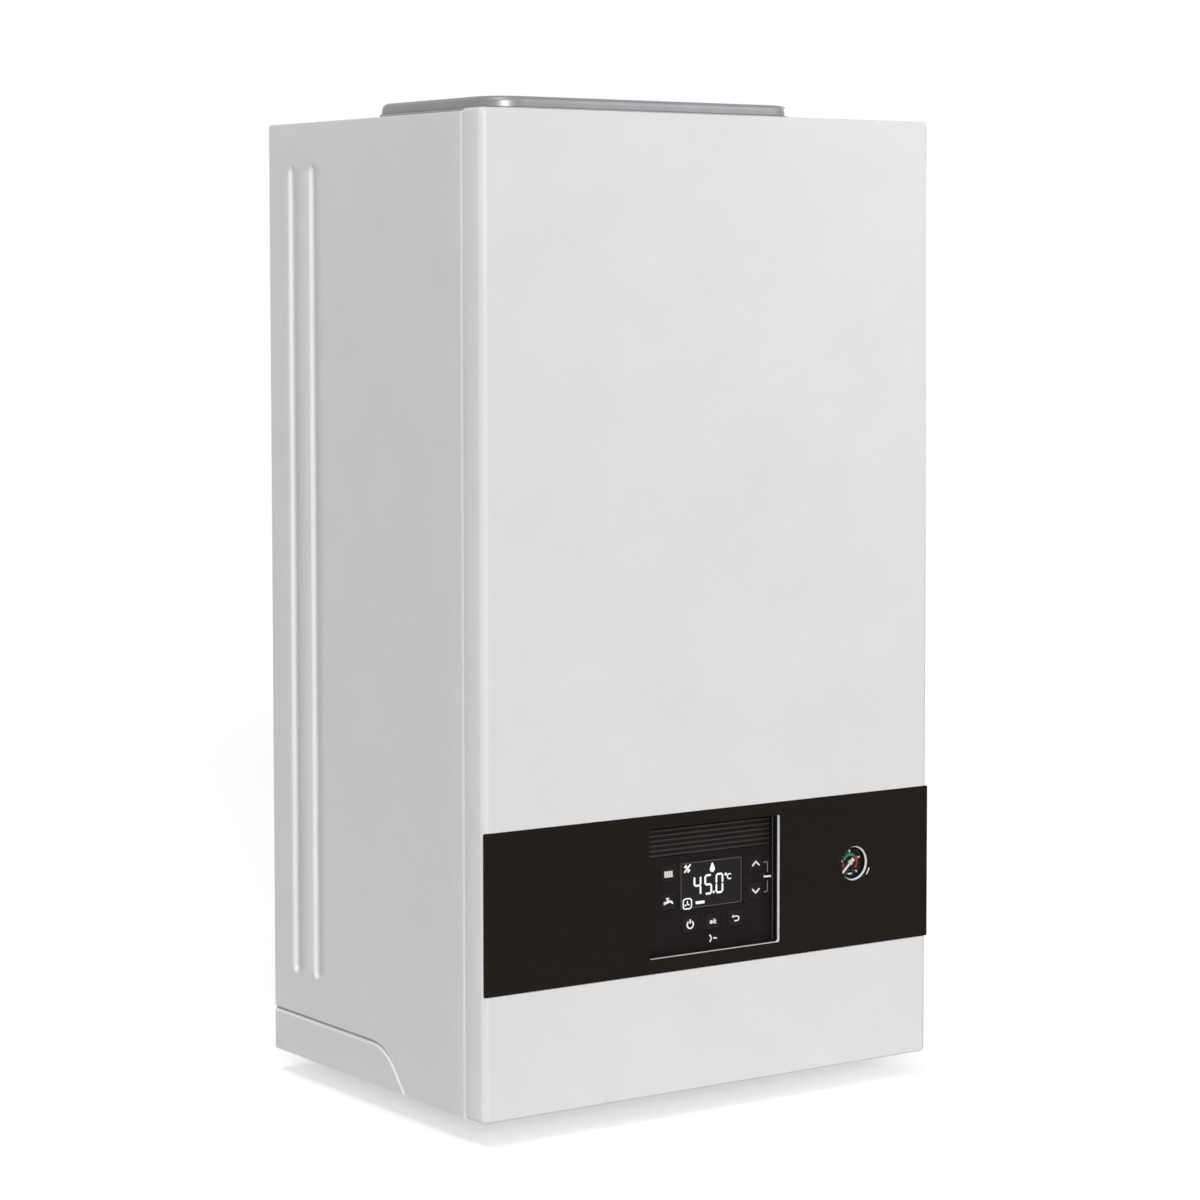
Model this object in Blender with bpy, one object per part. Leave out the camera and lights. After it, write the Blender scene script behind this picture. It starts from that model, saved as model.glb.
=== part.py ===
"""Wall-hung condensing boiler with its casing, control unit, heat cell and water parts.

Sizes are metres. Shapes are laid out in the casing's own frame: X to the right, Y towards the wall
with the wall plane at zero, and Z up from the casing's bottom edge. One empty lowers them all, so
that the origin lies on the rear frame, at the height of the slots that it hangs by.
"""

import math

import bmesh
import bpy
from mathutils import Matrix, Vector

for old_object in list(bpy.data.objects):
    bpy.data.objects.remove(old_object)

# Casing
CASING_WIDTH = 0.400
CASING_DEPTH = 0.300
CASING_HEIGHT = 0.708
SIDE_DROP = 0.002
SHEET = 0.001
FRAME_SHEET = 0.0015
SEAT_GAP = 0.0003
OVERRUN = 0.002
WELD_DEPTH = 0.0004

# Rear frame and its hanger slots
FRAME_FLANGE = 0.022
HANGER_DROP = 0.066
HANGER_SPACING = 0.220
HANGER_SLOT_WIDTH = 0.060
HANGER_SLOT_HEIGHT = 0.014
FRAME_BEAD_MARGIN = 0.027
FRAME_BEAD_END = 0.050
FRAME_BEAD_TOP = 0.106
CENTRE_BEAD_LENGTH = 0.200

# Side panels, their pressed grooves and the lower rear covers
SIDE_FLANGE = 0.014
SIDE_FLANGE_END = 0.020
SEAM_GAP = 0.0015
BEAD_HALF_WIDTH = 0.006
BEAD_DEPTH = 0.0025
BEAD_PLACES = (0.034, 0.065)
BEAD_BOTTOM = 0.0633
BEAD_TOP_DROP = 0.031
LOWER_COVER_HEIGHT = 0.031
LOWER_COVER_STRAIGHT = 0.146
LOWER_COVER_BEND = 0.041
LOWER_COVER_SLANT = math.radians(47)

# Roof, tray and gasket
ROOF_FLANGE = 0.012
TRAY_WIDTH = 0.280
TRAY_LENGTH = 0.174
TRAY_CENTRE_SHARE = 0.44
TRAY_CORNER = 0.028
TRAY_HEIGHT = 0.0079
TRAY_EDGE = 0.0045
TRAY_DRAFT = 0.0005
TRAY_WALL = 0.0012
GASKET_HEIGHT = 0.007
GASKET_PROUD = 0.0015
GASKET_WIDTH = 0.0155

# Flue and air adapter
AIR_RADIUS = 0.0505
ADAPTER_WALL = 0.002
FLUE_RADIUS = 0.030
WEB_DROP = 0.038
WEB_THICKNESS = 0.003
SPIGOT_DROP = 0.018
SPIGOT_RECESS = 0.006
ADAPTER_FLANGE = 0.0115
AIR_HOLE_RADIUS = 0.007
AIR_HOLES = 4

# Base tray
BASE_HEIGHT = 0.006
BASE_SHEET = 0.0012
BASE_FLANGE = 0.030

# Front cover
COVER_DEPTH = 0.0235
COVER_EDGE = 0.005
COVER_TOP_EDGE = 0.002
COVER_CORNER = 0.0035
PAD_HEIGHT = 0.020
PAD_MARGIN = 0.035
PAD_DEPTH = 0.012

# Control band with its window and gauge hole
BAND_BOTTOM = 0.090
BAND_HEIGHT = 0.115
BAND_THICKNESS = 0.0012
BAND_INSET = 0.0005
BACKING = 0.001
WINDOW_CENTRE_X = 0.0001
WINDOW_CENTRE_Z = 0.148
WINDOW_WIDTH = 0.1184
WINDOW_HEIGHT = 0.095
WINDOW_CORNER = 0.002
REVEAL_WALL = 0.0012
REVEAL_DEPTH = 0.0047
GAUGE_X = 0.1289
GAUGE_Z = 0.1523
GAUGE_HOLE_RADIUS = 0.012
GAUGE_HOLE_STEP = 0.001
GAUGE_REVEAL_DEPTH = 0.0028
RIM_WIDTH = 0.003
RIM_HEIGHT = 0.0005
RIM_SLOPE = 0.001

# Control housing, its hinge, lid and board
HOUSING_SIDE_CLEARANCE = 0.003
HOUSING_DROP = 0.0107
HOUSING_DEPTH = 0.0533
HOUSING_MARGIN = 0.0015
HOUSING_WALL = 0.002
LID_THICKNESS = 0.0017
HINGE_DROP = 0.0065
HINGE_SETBACK = 0.0273
HINGE_PIN_RADIUS = 0.004
HINGE_LUG = 0.006
HINGE_LUG_HALF = 0.007
HINGE_EAR = 0.002
HINGE_EAR_HALF = 0.009
BOARD_SETBACK = 0.0193
BOARD_THICKNESS = 0.0016
BOARD_HEIGHT = 0.092

# Display module, keys, lens and slot cover
MODULE_RIM = 0.003
MODULE_RIM_DROP = 0.005
MODULE_FACE_DROP = 0.0095
MODULE_FLOOR = 0.002
MODULE_SKIRT = 0.0105
MODULE_WALL = 0.002
KEY_WIDTH = 0.0135
KEY_HEIGHT = 0.0125
KEY_CORNER = 0.0015
KEY_PROUD = 0.0004
KEY_FLANGE = 0.0008
KEY_FLANGE_THICKNESS = 0.0008
SIDE_KEY_LEFT = -0.0359
SIDE_KEY_RIGHT = 0.0431
SIDE_KEY_UPPER = 0.0113
SIDE_KEY_LOWER = -0.0089
LOWER_KEY_ROW = -0.0274
LOWER_KEY_PITCH = 0.0206
LOWER_KEY_MIDDLE = 0.0041
LENS_WIDTH = 0.0562
LENS_HEIGHT = 0.0350
LENS_SHIFT = 0.0027
LENS_RISE = 0.0011
LENS_THICKNESS = 0.0012
SLOT_COVER_WIDTH = 0.1130
SLOT_COVER_HEIGHT = 0.0220
SLOT_COVER_RISE = 0.0356
SLOT_COVER_THICKNESS = 0.0016
SLOT_RIBS = 6
SLOT_RIB_DEPTH = 0.0006
SLOT_RIB_SHARE = 0.45

# Pressure gauge
GAUGE_RADIUS = 0.0155
GAUGE_BORE = 0.0135
GAUGE_FRONT_DROP = 0.0032
GAUGE_LENGTH = 0.021
GAUGE_GLASS_DROP = 0.0002
GAUGE_GLASS = 0.0006
GAUGE_FLOOR_DROP = 0.0033
DIAL_THICKNESS = 0.0006
POINTER_THICKNESS = 0.0005
POINTER_LIFT = 0.0005
POINTER_LENGTH = 0.0115
POINTER_TAIL = 0.0036
POINTER_HALF_WIDTH = 0.0009
POINTER_HUB_RADIUS = 0.0018
POINTER_PIN_RADIUS = 0.0006
POINTER_PIN_LENGTH = 0.0028
POINTER_ANGLE = math.radians(221)

# Expansion vessel
VESSEL_RADIUS = 0.150
VESSEL_DEPTH = 0.062
VESSEL_DROP = 0.241
VESSEL_RIM = 0.004
VESSEL_RIM_WIDTH = 0.008
VESSEL_WALL = 0.002
VESSEL_PORT_RADIUS = 0.008
VESSEL_PORT = 0.010
VESSEL_FACE_SHARE = 0.80
VESSEL_SHOULDER_SHARE = 0.95
VESSEL_SHOULDER_DROP_SHARE = 0.10
VESSEL_SIDE_DROP_SHARE = 0.30

# Heat cell, coil, burner and door
CELL_X = -0.045
CELL_DROP = 0.226
CELL_RADIUS = 0.105
CELL_WALL = 0.007
CELL_FLANGE = 0.007
CELL_FLANGE_DEPTH = 0.006
CELL_CLEARANCE = 0.014
COLLAR_RADIUS = 0.034
COLLAR_TOP_DROP = 0.074
COLLAR_BORE_DEPTH = 0.042
COLLAR_LIP = 0.002
EXHAUST_RADIUS = 0.024
ARM_HALF_WIDTH = 0.020
ARM_THICKNESS = 0.010
FLUE_PIPE_WALL = 0.0017
FLUE_PIPE_CLEARANCE = 0.0006
PORT_RADIUS = 0.014
PORT_OFFSET = 0.065
PORT_DEPTH = 0.015
DRAIN_RADIUS = 0.016
DRAIN_DEPTH = 0.020
VENT_OFFSET = 0.055
VENT_BOSS_RADIUS = 0.014
VENT_BOSS_DEPTH = 0.006
VENT_RADIUS = 0.012
VENT_HEIGHT = 0.034
VENT_CAP_RADIUS = 0.007
VENT_CAP_HEIGHT = 0.010
COIL_TUBE = 0.007
COIL_CLEARANCE = 0.0016
COIL_PITCH = 0.0162
COIL_END = 0.006
COIL_STEPS = 12
COIL_SIDES = 6
DOOR_THICKNESS = 0.0097
DOOR_DOME = 0.0045
DOOR_DOME_RADIUS = 0.048
DOOR_BORE = 0.014
DOOR_CLEARANCE = 0.0027
BURNER_RADIUS = 0.035
BURNER_WALL = 0.0015
BURNER_FLANGE = 0.010
BURNER_FLANGE_THICKNESS = 0.002
BURNER_END = 0.018
ELECTRODE_OFFSET = 0.048
ELECTRODE_RADIUS = 0.0045
ELECTRODE_FRONT = 0.016
ELECTRODE_BODY = 0.045
ELECTRODE_PIN_RADIUS = 0.0015
ELECTRODE_PIN = 0.020

# Fan, duct, mixer and gas valve
FRONT_CLEARANCE = 0.0095
FAN_INSET = 0.078
FAN_RISE = 0.040
FAN_RADIUS = 0.055
FAN_DEPTH = 0.040
FAN_WALL = 0.004
FAN_NECK_END = 0.077
FAN_NECK_HALF = 0.016
FAN_INLET_RADIUS = 0.022
FAN_MOTOR_RADIUS = 0.034
FAN_MOTOR_DEPTH = 0.027
FAN_MOTOR_HUB = 0.012
IMPELLER_CLEARANCE = 0.007
IMPELLER_DEPTH = 0.022
IMPELLER_PLATE = 0.002
IMPELLER_HUB = 0.009
IMPELLER_BLADES = 9
BLADE_THICKNESS = 0.0018
SHAFT_RADIUS = 0.003
SHAFT_REACH = 0.012
DUCT_RADIUS = 0.016
DUCT_BEND = 0.0175
DUCT_SIDES = 14
MIXER_LENGTH = 0.055
MIXER_RADIUS = 0.030
MIXER_FLANGE = 0.005
MIXER_NECK_RADIUS = 0.024
MIXER_THROAT = 0.014
MIXER_MOUTH = 0.021
MIXER_STUB_RADIUS = 0.009
MIXER_STUB_SETBACK = 0.031
VALVE_WIDTH = 0.056
VALVE_DEPTH = 0.062
VALVE_HEIGHT = 0.065
VALVE_DROP = 0.115
VALVE_COIL_RADIUS = 0.015
VALVE_COIL_LENGTH = 0.022

# Water side
UNION_PITCH = 0.065
UNION_REACH = 0.018
UNION_RADIUS = 0.0105
UNION_BORE = 0.008
UNION_BORE_DEPTH = 0.040
UNION_FLANGE_RADIUS = 0.0185
UNION_FLANGE = 0.003
UNION_NUT_RADIUS = 0.0148
UNION_NUT = 0.015
UNION_HOLE = 0.016
UNION_INSET = 0.002
BLOCK_INNER_X = 0.045
BLOCK_OUTER_X = 0.160
BLOCK_REAR_Y = -0.0783
BLOCK_BOTTOM = 0.034
BLOCK_TOP = 0.100
BLOCK_EDGE = 0.004
EXCHANGER_WIDTH = 0.190
EXCHANGER_DEPTH = 0.043
EXCHANGER_BOTTOM = 0.040
EXCHANGER_HEIGHT = 0.072
EXCHANGER_PLATES = 9
EXCHANGER_GROOVE = 0.0015
EXCHANGER_GROOVE_SHARE = 0.4
PUMP_X = 0.122
PUMP_SETBACK = 0.00885
PUMP_RISE = 0.050
PUMP_RADIUS = 0.040
PUMP_REAR_DEPTH = 0.026
PUMP_FRONT_DEPTH = 0.026
PUMP_NECK_RADIUS = 0.013
PUMP_NECK_RISE = 0.055
PUMP_CAVITY_RADIUS = 0.030
PUMP_CAVITY_DEPTH = 0.036
PUMP_MOTOR_RADIUS = 0.041
PUMP_MOTOR_CLEARANCE = 0.023
PUMP_IMPELLER_RADIUS = 0.026
PUMP_IMPELLER_DEPTH = 0.020
PUMP_IMPELLER_SETBACK = 0.007
PIPE_RADIUS = 0.009
GAS_PIPE_RADIUS = 0.008
PIPE_BEND = 0.028
PIPE_SIDES = 12
FLOW_PIPE_X = -0.075
LOWER_BEND_SHARE = 0.45
UPPER_BEND_SHARE = 0.80
RETURN_LOWER_SHARE = 0.30
GAS_LOWER_SHARE = 0.72
GAS_UPPER_SHARE = 0.84
DIVERTER_X = -0.1325
DIVERTER_HALF = 0.0245
DIVERTER_HEIGHT = 0.054
DIVERTER_LEG = 0.0137
DIVERTER_LEG_WIDTH = 0.006
DIVERTER_LEG_INSET = 0.002
DIVERTER_LEG_OFFSET = 0.016
STEM_RADIUS = 0.004
STEM_BELOW = 0.015
STEM_ABOVE = 0.021
STEM_STROKE = 0.008
TRAP_X = -0.045
TRAP_SETBACK = 0.020
TRAP_RADIUS = 0.030
TRAP_CLEARANCE = 0.003
TRAP_BOTTOM = 0.060
TRAP_HEIGHT = 0.175
TRAP_EDGE = 0.006
TRAP_NECK = 0.0125
TRAP_OUTLET = 0.011
TRAP_OUTLET_BORE = 0.009
TRAP_OUTLET_REACH = 0.012
TRAP_HOLE_CLEARANCE = 0.0009
SAFETY_X = -0.135
SAFETY_Z = 0.067
FILLING_X = 0.095
FILLING_Z = 0.064
KNOB_BOSS_RADIUS = 0.010
KNOB_BOSS = 0.0143
KNOB_RADIUS = 0.0135
KNOB_DEPTH = 0.0177
KNOB_PIN_RADIUS = 0.003
KNOB_PIN = 0.008
KNOB_NOTCHES = 8
KNOB_NOTCH_RADIUS = 0.0025
HANDLE_HALF_WIDTH = 0.004
HANDLE_LENGTH = 0.024
HANDLE_DEPTH = 0.009
GLAND_INSET = 0.028
GLAND_SETBACK = 0.075
GLAND_RADIUS = 0.009
GLAND_BORE = 0.004
GLAND_LENGTH = 0.026
GLAND_REACH = 0.004
GLAND_FLANGE_RADIUS = 0.013
GLAND_FLANGE = 0.006

# Round shapes
BIG_STEPS = 24
HOLLOW_STEPS = 20
STEPS = 16
SMALL_STEPS = 12
BEAD_STEPS = 8
NOTCH_STEPS = 8
CORNER_STEPS = 3
ARC_STEPS = 3

# Places worked out from the sizes above
HALF_WIDTH = CASING_WIDTH / 2
INSIDE_HALF = HALF_WIDTH - SHEET - SEAT_GAP
FRONT_Y = -CASING_DEPTH
COVER_REAR_Y = FRONT_Y + COVER_DEPTH
SIDE_FRONT_Y = COVER_REAR_Y + SEAM_GAP
SIDE_TOP = CASING_HEIGHT - SIDE_DROP
HANGER_HEIGHT = SIDE_TOP - HANGER_DROP
BAND_TOP = BAND_BOTTOM + BAND_HEIGHT
TRAY_CENTRE_Y = FRONT_Y * TRAY_CENTRE_SHARE
GASKET_BOTTOM = SIDE_TOP + SEAT_GAP
TRAY_BOTTOM = GASKET_BOTTOM + GASKET_HEIGHT + SEAT_GAP
TRAY_TOP = TRAY_BOTTOM + TRAY_HEIGHT
BASE_TOP = BASE_HEIGHT + BASE_SHEET
FRAME_FRONT_Y = -FRAME_SHEET
VESSEL_FRONT_Y = FRAME_FRONT_Y - SEAT_GAP - VESSEL_DEPTH
CELL_Z = SIDE_TOP - CELL_DROP
CELL_REAR_Y = VESSEL_FRONT_Y - CELL_CLEARANCE
MOTOR_FRONT_Y = FRONT_Y + SHEET + FRONT_CLEARANCE
FAN_FRONT_Y = MOTOR_FRONT_Y + FAN_MOTOR_DEPTH + SEAT_GAP
FAN_REAR_Y = FAN_FRONT_Y + FAN_DEPTH
FAN_X = HALF_WIDTH - FAN_INSET
FAN_Z = CELL_Z + FAN_RISE
DUCT_Y = (FAN_FRONT_Y + FAN_REAR_Y) / 2
DOOR_DOME_Y = FAN_REAR_Y + DOOR_CLEARANCE
DOOR_FRONT_Y = DOOR_DOME_Y + DOOR_DOME
DOOR_REAR_Y = DOOR_FRONT_Y + DOOR_THICKNESS
CELL_FRONT_Y = DOOR_REAR_Y + SEAT_GAP
PORT_BOTTOM = CELL_Z - CELL_RADIUS - PORT_DEPTH
DRAIN_BOTTOM = CELL_Z - CELL_RADIUS - DRAIN_DEPTH
TRAP_Y = CELL_FRONT_Y + TRAP_SETBACK
BLOCK_FRONT_Y = TRAP_Y + TRAP_RADIUS + TRAP_CLEARANCE
UNION_Y = (BLOCK_FRONT_Y + BLOCK_REAR_Y) / 2
PUMP_Y = UNION_Y - PUMP_SETBACK
PIPE_Y = PUMP_Y
PUMP_Z = BLOCK_TOP + PUMP_RISE
HOUSING_FRONT_Y = FRONT_Y + HOUSING_DROP
HOUSING_REAR_Y = HOUSING_FRONT_Y + HOUSING_DEPTH
HOUSING_BOTTOM = BAND_BOTTOM + HOUSING_MARGIN
HOUSING_TOP = BAND_TOP - HOUSING_MARGIN
HOUSING_HALF = HALF_WIDTH - SHEET - SIDE_FLANGE - HOUSING_SIDE_CLEARANCE
HINGE_Y = HOUSING_FRONT_Y + HINGE_SETBACK
HINGE_Z = HOUSING_BOTTOM - HINGE_DROP
MODULE_FRONT_Y = FRONT_Y + MODULE_RIM_DROP
FACE_Y = FRONT_Y + MODULE_FACE_DROP
FACE_REAR_Y = FACE_Y + MODULE_FLOOR
GAUGE_FRONT_Y = FRONT_Y + GAUGE_FRONT_DROP
GAUGE_FLOOR_Y = GAUGE_FRONT_Y + GAUGE_FLOOR_DROP
GLAND_X = HALF_WIDTH - GLAND_INSET
GLAND_Y = SIDE_FRONT_Y + GLAND_SETBACK
VALVE_TOP = FAN_Z - VALVE_DROP
MIXER_STUB_Y = FAN_REAR_Y + SEAT_GAP + MIXER_STUB_SETBACK

# The empty that sets the origin on the rear frame, at the hanger slots
appliance = bpy.data.objects.new("appliance", None)
appliance.location = (0, 0, -HANGER_HEIGHT)
bpy.context.scene.collection.objects.link(appliance)


def solid(name, vertices, faces):
    """Makes a closed mesh object with its faces turned outwards."""
    mesh = bpy.data.meshes.new(name)
    mesh.from_pydata(vertices, [], faces)
    work = bmesh.new()
    work.from_mesh(mesh)
    bmesh.ops.recalc_face_normals(work, faces=work.faces)
    work.to_mesh(mesh)
    work.free()
    made = bpy.data.objects.new(name, mesh)
    bpy.context.scene.collection.objects.link(made)
    made.parent = appliance
    return made


def along(axis, first, second, level):
    """Puts a flat point and a level along an axis into X, Y, Z order."""
    if axis == "X":
        return (level, first, second)
    if axis == "Y":
        return (first, level, second)
    return (first, second, level)


def stacked(name, outlines, axis, levels):
    """Joins outlines of equal point counts, one at each level, and closes both ends."""
    count = len(outlines[0])
    vertices = []
    for outline, level in zip(outlines, levels):
        vertices += [along(axis, first, second, level) for first, second in outline]
    faces = []
    for layer in range(len(levels) - 1):
        low = layer * count
        for i in range(count):
            j = (i + 1) % count
            faces.append((low + i, low + j, low + count + j, low + count + i))
    faces.append(tuple(range(count)))
    faces.append(tuple(range(len(vertices) - count, len(vertices))))
    return solid(name, vertices, faces)


def prism(name, outline, axis, low, high):
    """Extrudes one outline along an axis."""
    return stacked(name, [outline, outline], axis, [low, high])


def box(name, x_range, y_range, z_range):
    """Makes a block between two corners."""
    (x0, x1), (y0, y1), (z0, z1) = x_range, y_range, z_range
    return prism(name, [(x0, y0), (x1, y0), (x1, y1), (x0, y1)], "Z", z0, z1)


def rounded_rectangle(centre, size, radius, steps=CORNER_STEPS):
    """Points of a rectangle with arcs at its corners, counted round from the right-hand side."""
    half_width, half_height = size[0] / 2 - radius, size[1] / 2 - radius
    points = []
    for corner, (side, rise) in enumerate(((1, 1), (-1, 1), (-1, -1), (1, -1))):
        for step in range(steps + 1):
            angle = math.pi / 2 * (corner + step / steps)
            points.append(
                (
                    centre[0] + side * half_width + radius * math.cos(angle),
                    centre[1] + rise * half_height + radius * math.sin(angle),
                )
            )
    return points


def turned(name, profile, axis, centre, steps=STEPS):
    """Turns a profile of (radius, level) points round an axis. A radius of zero is a pole."""
    vertices = []
    rings = []
    for radius, level in profile:
        if radius == 0:
            rings.append([len(vertices)])
            vertices.append(along(axis, centre[0], centre[1], level))
            continue
        rings.append(list(range(len(vertices), len(vertices) + steps)))
        for step in range(steps):
            angle = 2 * math.pi * (step + 1 / 2) / steps
            first = centre[0] + radius * math.cos(angle)
            second = centre[1] + radius * math.sin(angle)
            vertices.append(along(axis, first, second, level))
    pairs = list(zip(rings, rings[1:]))
    if profile[0][0] != 0:
        pairs.append((rings[-1], rings[0]))
    faces = []
    for lower, upper in pairs:
        for i in range(steps):
            j = (i + 1) % steps
            corners = [lower[i % len(lower)], lower[j % len(lower)]]
            corners += [upper[j % len(upper)], upper[i % len(upper)]]
            face = tuple(dict.fromkeys(corners))
            if len(face) > 2:
                faces.append(face)
    return solid(name, vertices, faces)


def rod(name, radius, axis, centre, low, high, steps=STEPS):
    """A plain round bar, used for pins, bosses and round cutters."""
    return turned(name, [(0, low), (radius, low), (radius, high), (0, high)], axis, centre, steps)


def rounded_route(points, bend, steps=ARC_STEPS):
    """Replaces each inner corner of a route by an arc of the given radius."""
    places = [Vector(point) for point in points]
    route = [places[0]]
    for before, corner, after in zip(places, places[1:], places[2:]):
        incoming = (corner - before).normalized()
        outgoing = (after - corner).normalized()
        turn = incoming.angle(outgoing)
        cut = bend * math.tan(turn / 2)
        inward = (outgoing - incoming).normalized()
        centre = corner + inward * (bend / math.cos(turn / 2))
        start = corner - incoming * cut - centre
        axis = incoming.cross(outgoing).normalized()
        for step in range(steps + 1):
            route.append(centre + Matrix.Rotation(turn * step / steps, 3, axis) @ start)
    route.append(places[-1])
    return route


def swept(name, route, radius, sides=PIPE_SIDES):
    """Carries a circle along a route, turning it as little as possible at each point."""
    route = [Vector(point) for point in route]
    headings = []
    for i in range(len(route)):
        headings.append((route[min(i + 1, len(route) - 1)] - route[max(i - 1, 0)]).normalized())
    headings[0] = (route[1] - route[0]).normalized()
    headings[-1] = (route[-1] - route[-2]).normalized()
    side = headings[0].orthogonal().normalized()
    vertices = []
    for i, place in enumerate(route):
        if i:
            side = headings[i - 1].rotation_difference(headings[i]) @ side
        up = headings[i].cross(side)
        for step in range(sides):
            angle = 2 * math.pi * step / sides
            vertices.append(place + radius * (math.cos(angle) * side + math.sin(angle) * up))
    faces = []
    for ring in range(len(route) - 1):
        low = ring * sides
        for i in range(sides):
            j = (i + 1) % sides
            faces.append((low + i, low + j, low + sides + j, low + sides + i))
    faces.append(tuple(range(sides)))
    faces.append(tuple(range(len(vertices) - sides, len(vertices))))
    return solid(name, vertices, faces)


def bead(name, place, half_width, depth, low, high, across):
    """A long groove shape with round ends. Across is the flat axis that the depth is measured on."""
    profile = []
    for step in range(ARC_STEPS + 1):
        angle = math.pi / 2 * step / ARC_STEPS
        profile.append((half_width * math.sin(angle), low + half_width * (1 - math.cos(angle))))
    for step in range(ARC_STEPS + 1):
        angle = math.pi / 2 * step / ARC_STEPS
        profile.append((half_width * math.cos(angle), high - half_width * (1 - math.sin(angle))))
    profile[0] = (0, low)
    profile[-1] = (0, high)
    made = turned(name, profile, "Z", (0, 0), BEAD_STEPS)
    squeeze = depth / half_width
    if across == "X":
        made.data.transform(Matrix.Diagonal((squeeze, 1, 1, 1)))
    else:
        made.data.transform(Matrix.Diagonal((1, squeeze, 1, 1)))
    made.data.transform(Matrix.Translation(place))
    return made


def combine(target, operation, tools):
    for tool in tools:
        tool.hide_render = True
        tool.display_type = "WIRE"
        step = target.modifiers.new(operation.lower() + "_" + tool.name, "BOOLEAN")
        step.operation = operation
        step.object = tool
        step.solver = "EXACT"


def cut(target, *tools):
    """Takes the tools' shapes out of the target."""
    combine(target, "DIFFERENCE", tools)


def join(target, *tools):
    """Makes the tools' shapes part of the target."""
    combine(target, "UNION", tools)


def set_pivot(made, pivot):
    """Moves an object's origin to its joint without moving its shape."""
    made.data.transform(Matrix.Translation(-Vector(pivot)))
    made.location = pivot


def finish(made, colour, roughness, metallic=0.0):
    """Gives a piece its own material and shades its round faces smooth."""
    material = bpy.data.materials.new(made.name + "_material")
    material.use_nodes = True
    shader = material.node_tree.nodes["Principled BSDF"]
    shader.inputs["Base Color"].default_value = (*colour, 1)
    shader.inputs["Roughness"].default_value = roughness
    shader.inputs["Metallic"].default_value = metallic
    made.data.materials.clear()
    made.data.materials.append(material)
    made.data.shade_smooth()
    made.data.set_sharp_from_angle(angle=math.radians(35))


WHITE_ENAMEL = (0.84, 0.85, 0.86)
GALVANISED = (0.55, 0.56, 0.57)
SILVER = (0.60, 0.60, 0.61)
BLACK_PLASTIC = (0.020, 0.018, 0.015)
BRASS = (0.70, 0.52, 0.25)
COPPER = (0.80, 0.45, 0.30)
STEEL = (0.62, 0.62, 0.63)
GREY_PLASTIC = (0.25, 0.26, 0.27)
RED = (0.55, 0.03, 0.02)


# Rear frame: a folded steel channel with two hanger slots and three stiffening beads
def build_rear_frame():
    half = INSIDE_HALF
    inner = half - FRAME_SHEET
    outline = [
        (-half, 0),
        (half, 0),
        (half, -FRAME_FLANGE),
        (inner, -FRAME_FLANGE),
        (inner, FRAME_FRONT_Y),
        (-inner, FRAME_FRONT_Y),
        (-inner, -FRAME_FLANGE),
        (-half, -FRAME_FLANGE),
    ]
    frame = prism("rear_frame", outline, "Z", 0, SIDE_TOP)
    bead_x = half - FRAME_BEAD_MARGIN
    bead_ranges = [
        (-bead_x, FRAME_BEAD_END, SIDE_TOP - FRAME_BEAD_TOP),
        (bead_x, FRAME_BEAD_END, SIDE_TOP - FRAME_BEAD_TOP),
        (0, FRAME_BEAD_END, FRAME_BEAD_END + CENTRE_BEAD_LENGTH),
    ]
    for number, (place, low, high) in enumerate(bead_ranges):
        label = f"frame_bead_{number}"
        outer_low, outer_high = low - FRAME_SHEET, high + FRAME_SHEET
        bulge_width, bulge_depth = BEAD_HALF_WIDTH + FRAME_SHEET, BEAD_DEPTH + FRAME_SHEET
        bulge = bead(
            label + "_bulge", (place, 0, 0), bulge_width, bulge_depth, outer_low, outer_high, "Y"
        )
        room = (-half, half), (-WELD_DEPTH, bulge_depth + OVERRUN), (0, SIDE_TOP)
        cut(bulge, box(label + "_trim", *room))
        join(frame, bulge)
        groove = bead(label, (place, 0, 0), BEAD_HALF_WIDTH, BEAD_DEPTH, low, high, "Y")
        cut(frame, groove)
    for side in (-1, 1):
        middle = side * HANGER_SPACING / 2
        slot = box(
            f"hanger_slot_{side}",
            (middle - HANGER_SLOT_WIDTH / 2, middle + HANGER_SLOT_WIDTH / 2),
            (FRAME_FRONT_Y - OVERRUN, OVERRUN),
            (HANGER_HEIGHT - HANGER_SLOT_HEIGHT / 2, HANGER_HEIGHT + HANGER_SLOT_HEIGHT / 2),
        )
        cut(frame, slot)
    finish(frame, GALVANISED, 0.45, 0.8)


def lower_cover_outline(grow, rear, bottom):
    """The lower rear cover seen from the side: level on top, then a bend and a slant to the floor line."""
    centre_z = LOWER_COVER_HEIGHT - LOWER_COVER_BEND
    radius = LOWER_COVER_BEND + grow
    points = [(rear, bottom), (rear, LOWER_COVER_HEIGHT + grow)]
    for step in range(ARC_STEPS * 2 + 1):
        angle = LOWER_COVER_SLANT * step / (ARC_STEPS * 2)
        points.append(
            (-LOWER_COVER_STRAIGHT - radius * math.sin(angle), centre_z + radius * math.cos(angle))
        )
    last_y, last_z = points[-1]
    points.append((last_y - (last_z - bottom) / math.tan(LOWER_COVER_SLANT), bottom))
    return points


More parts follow.
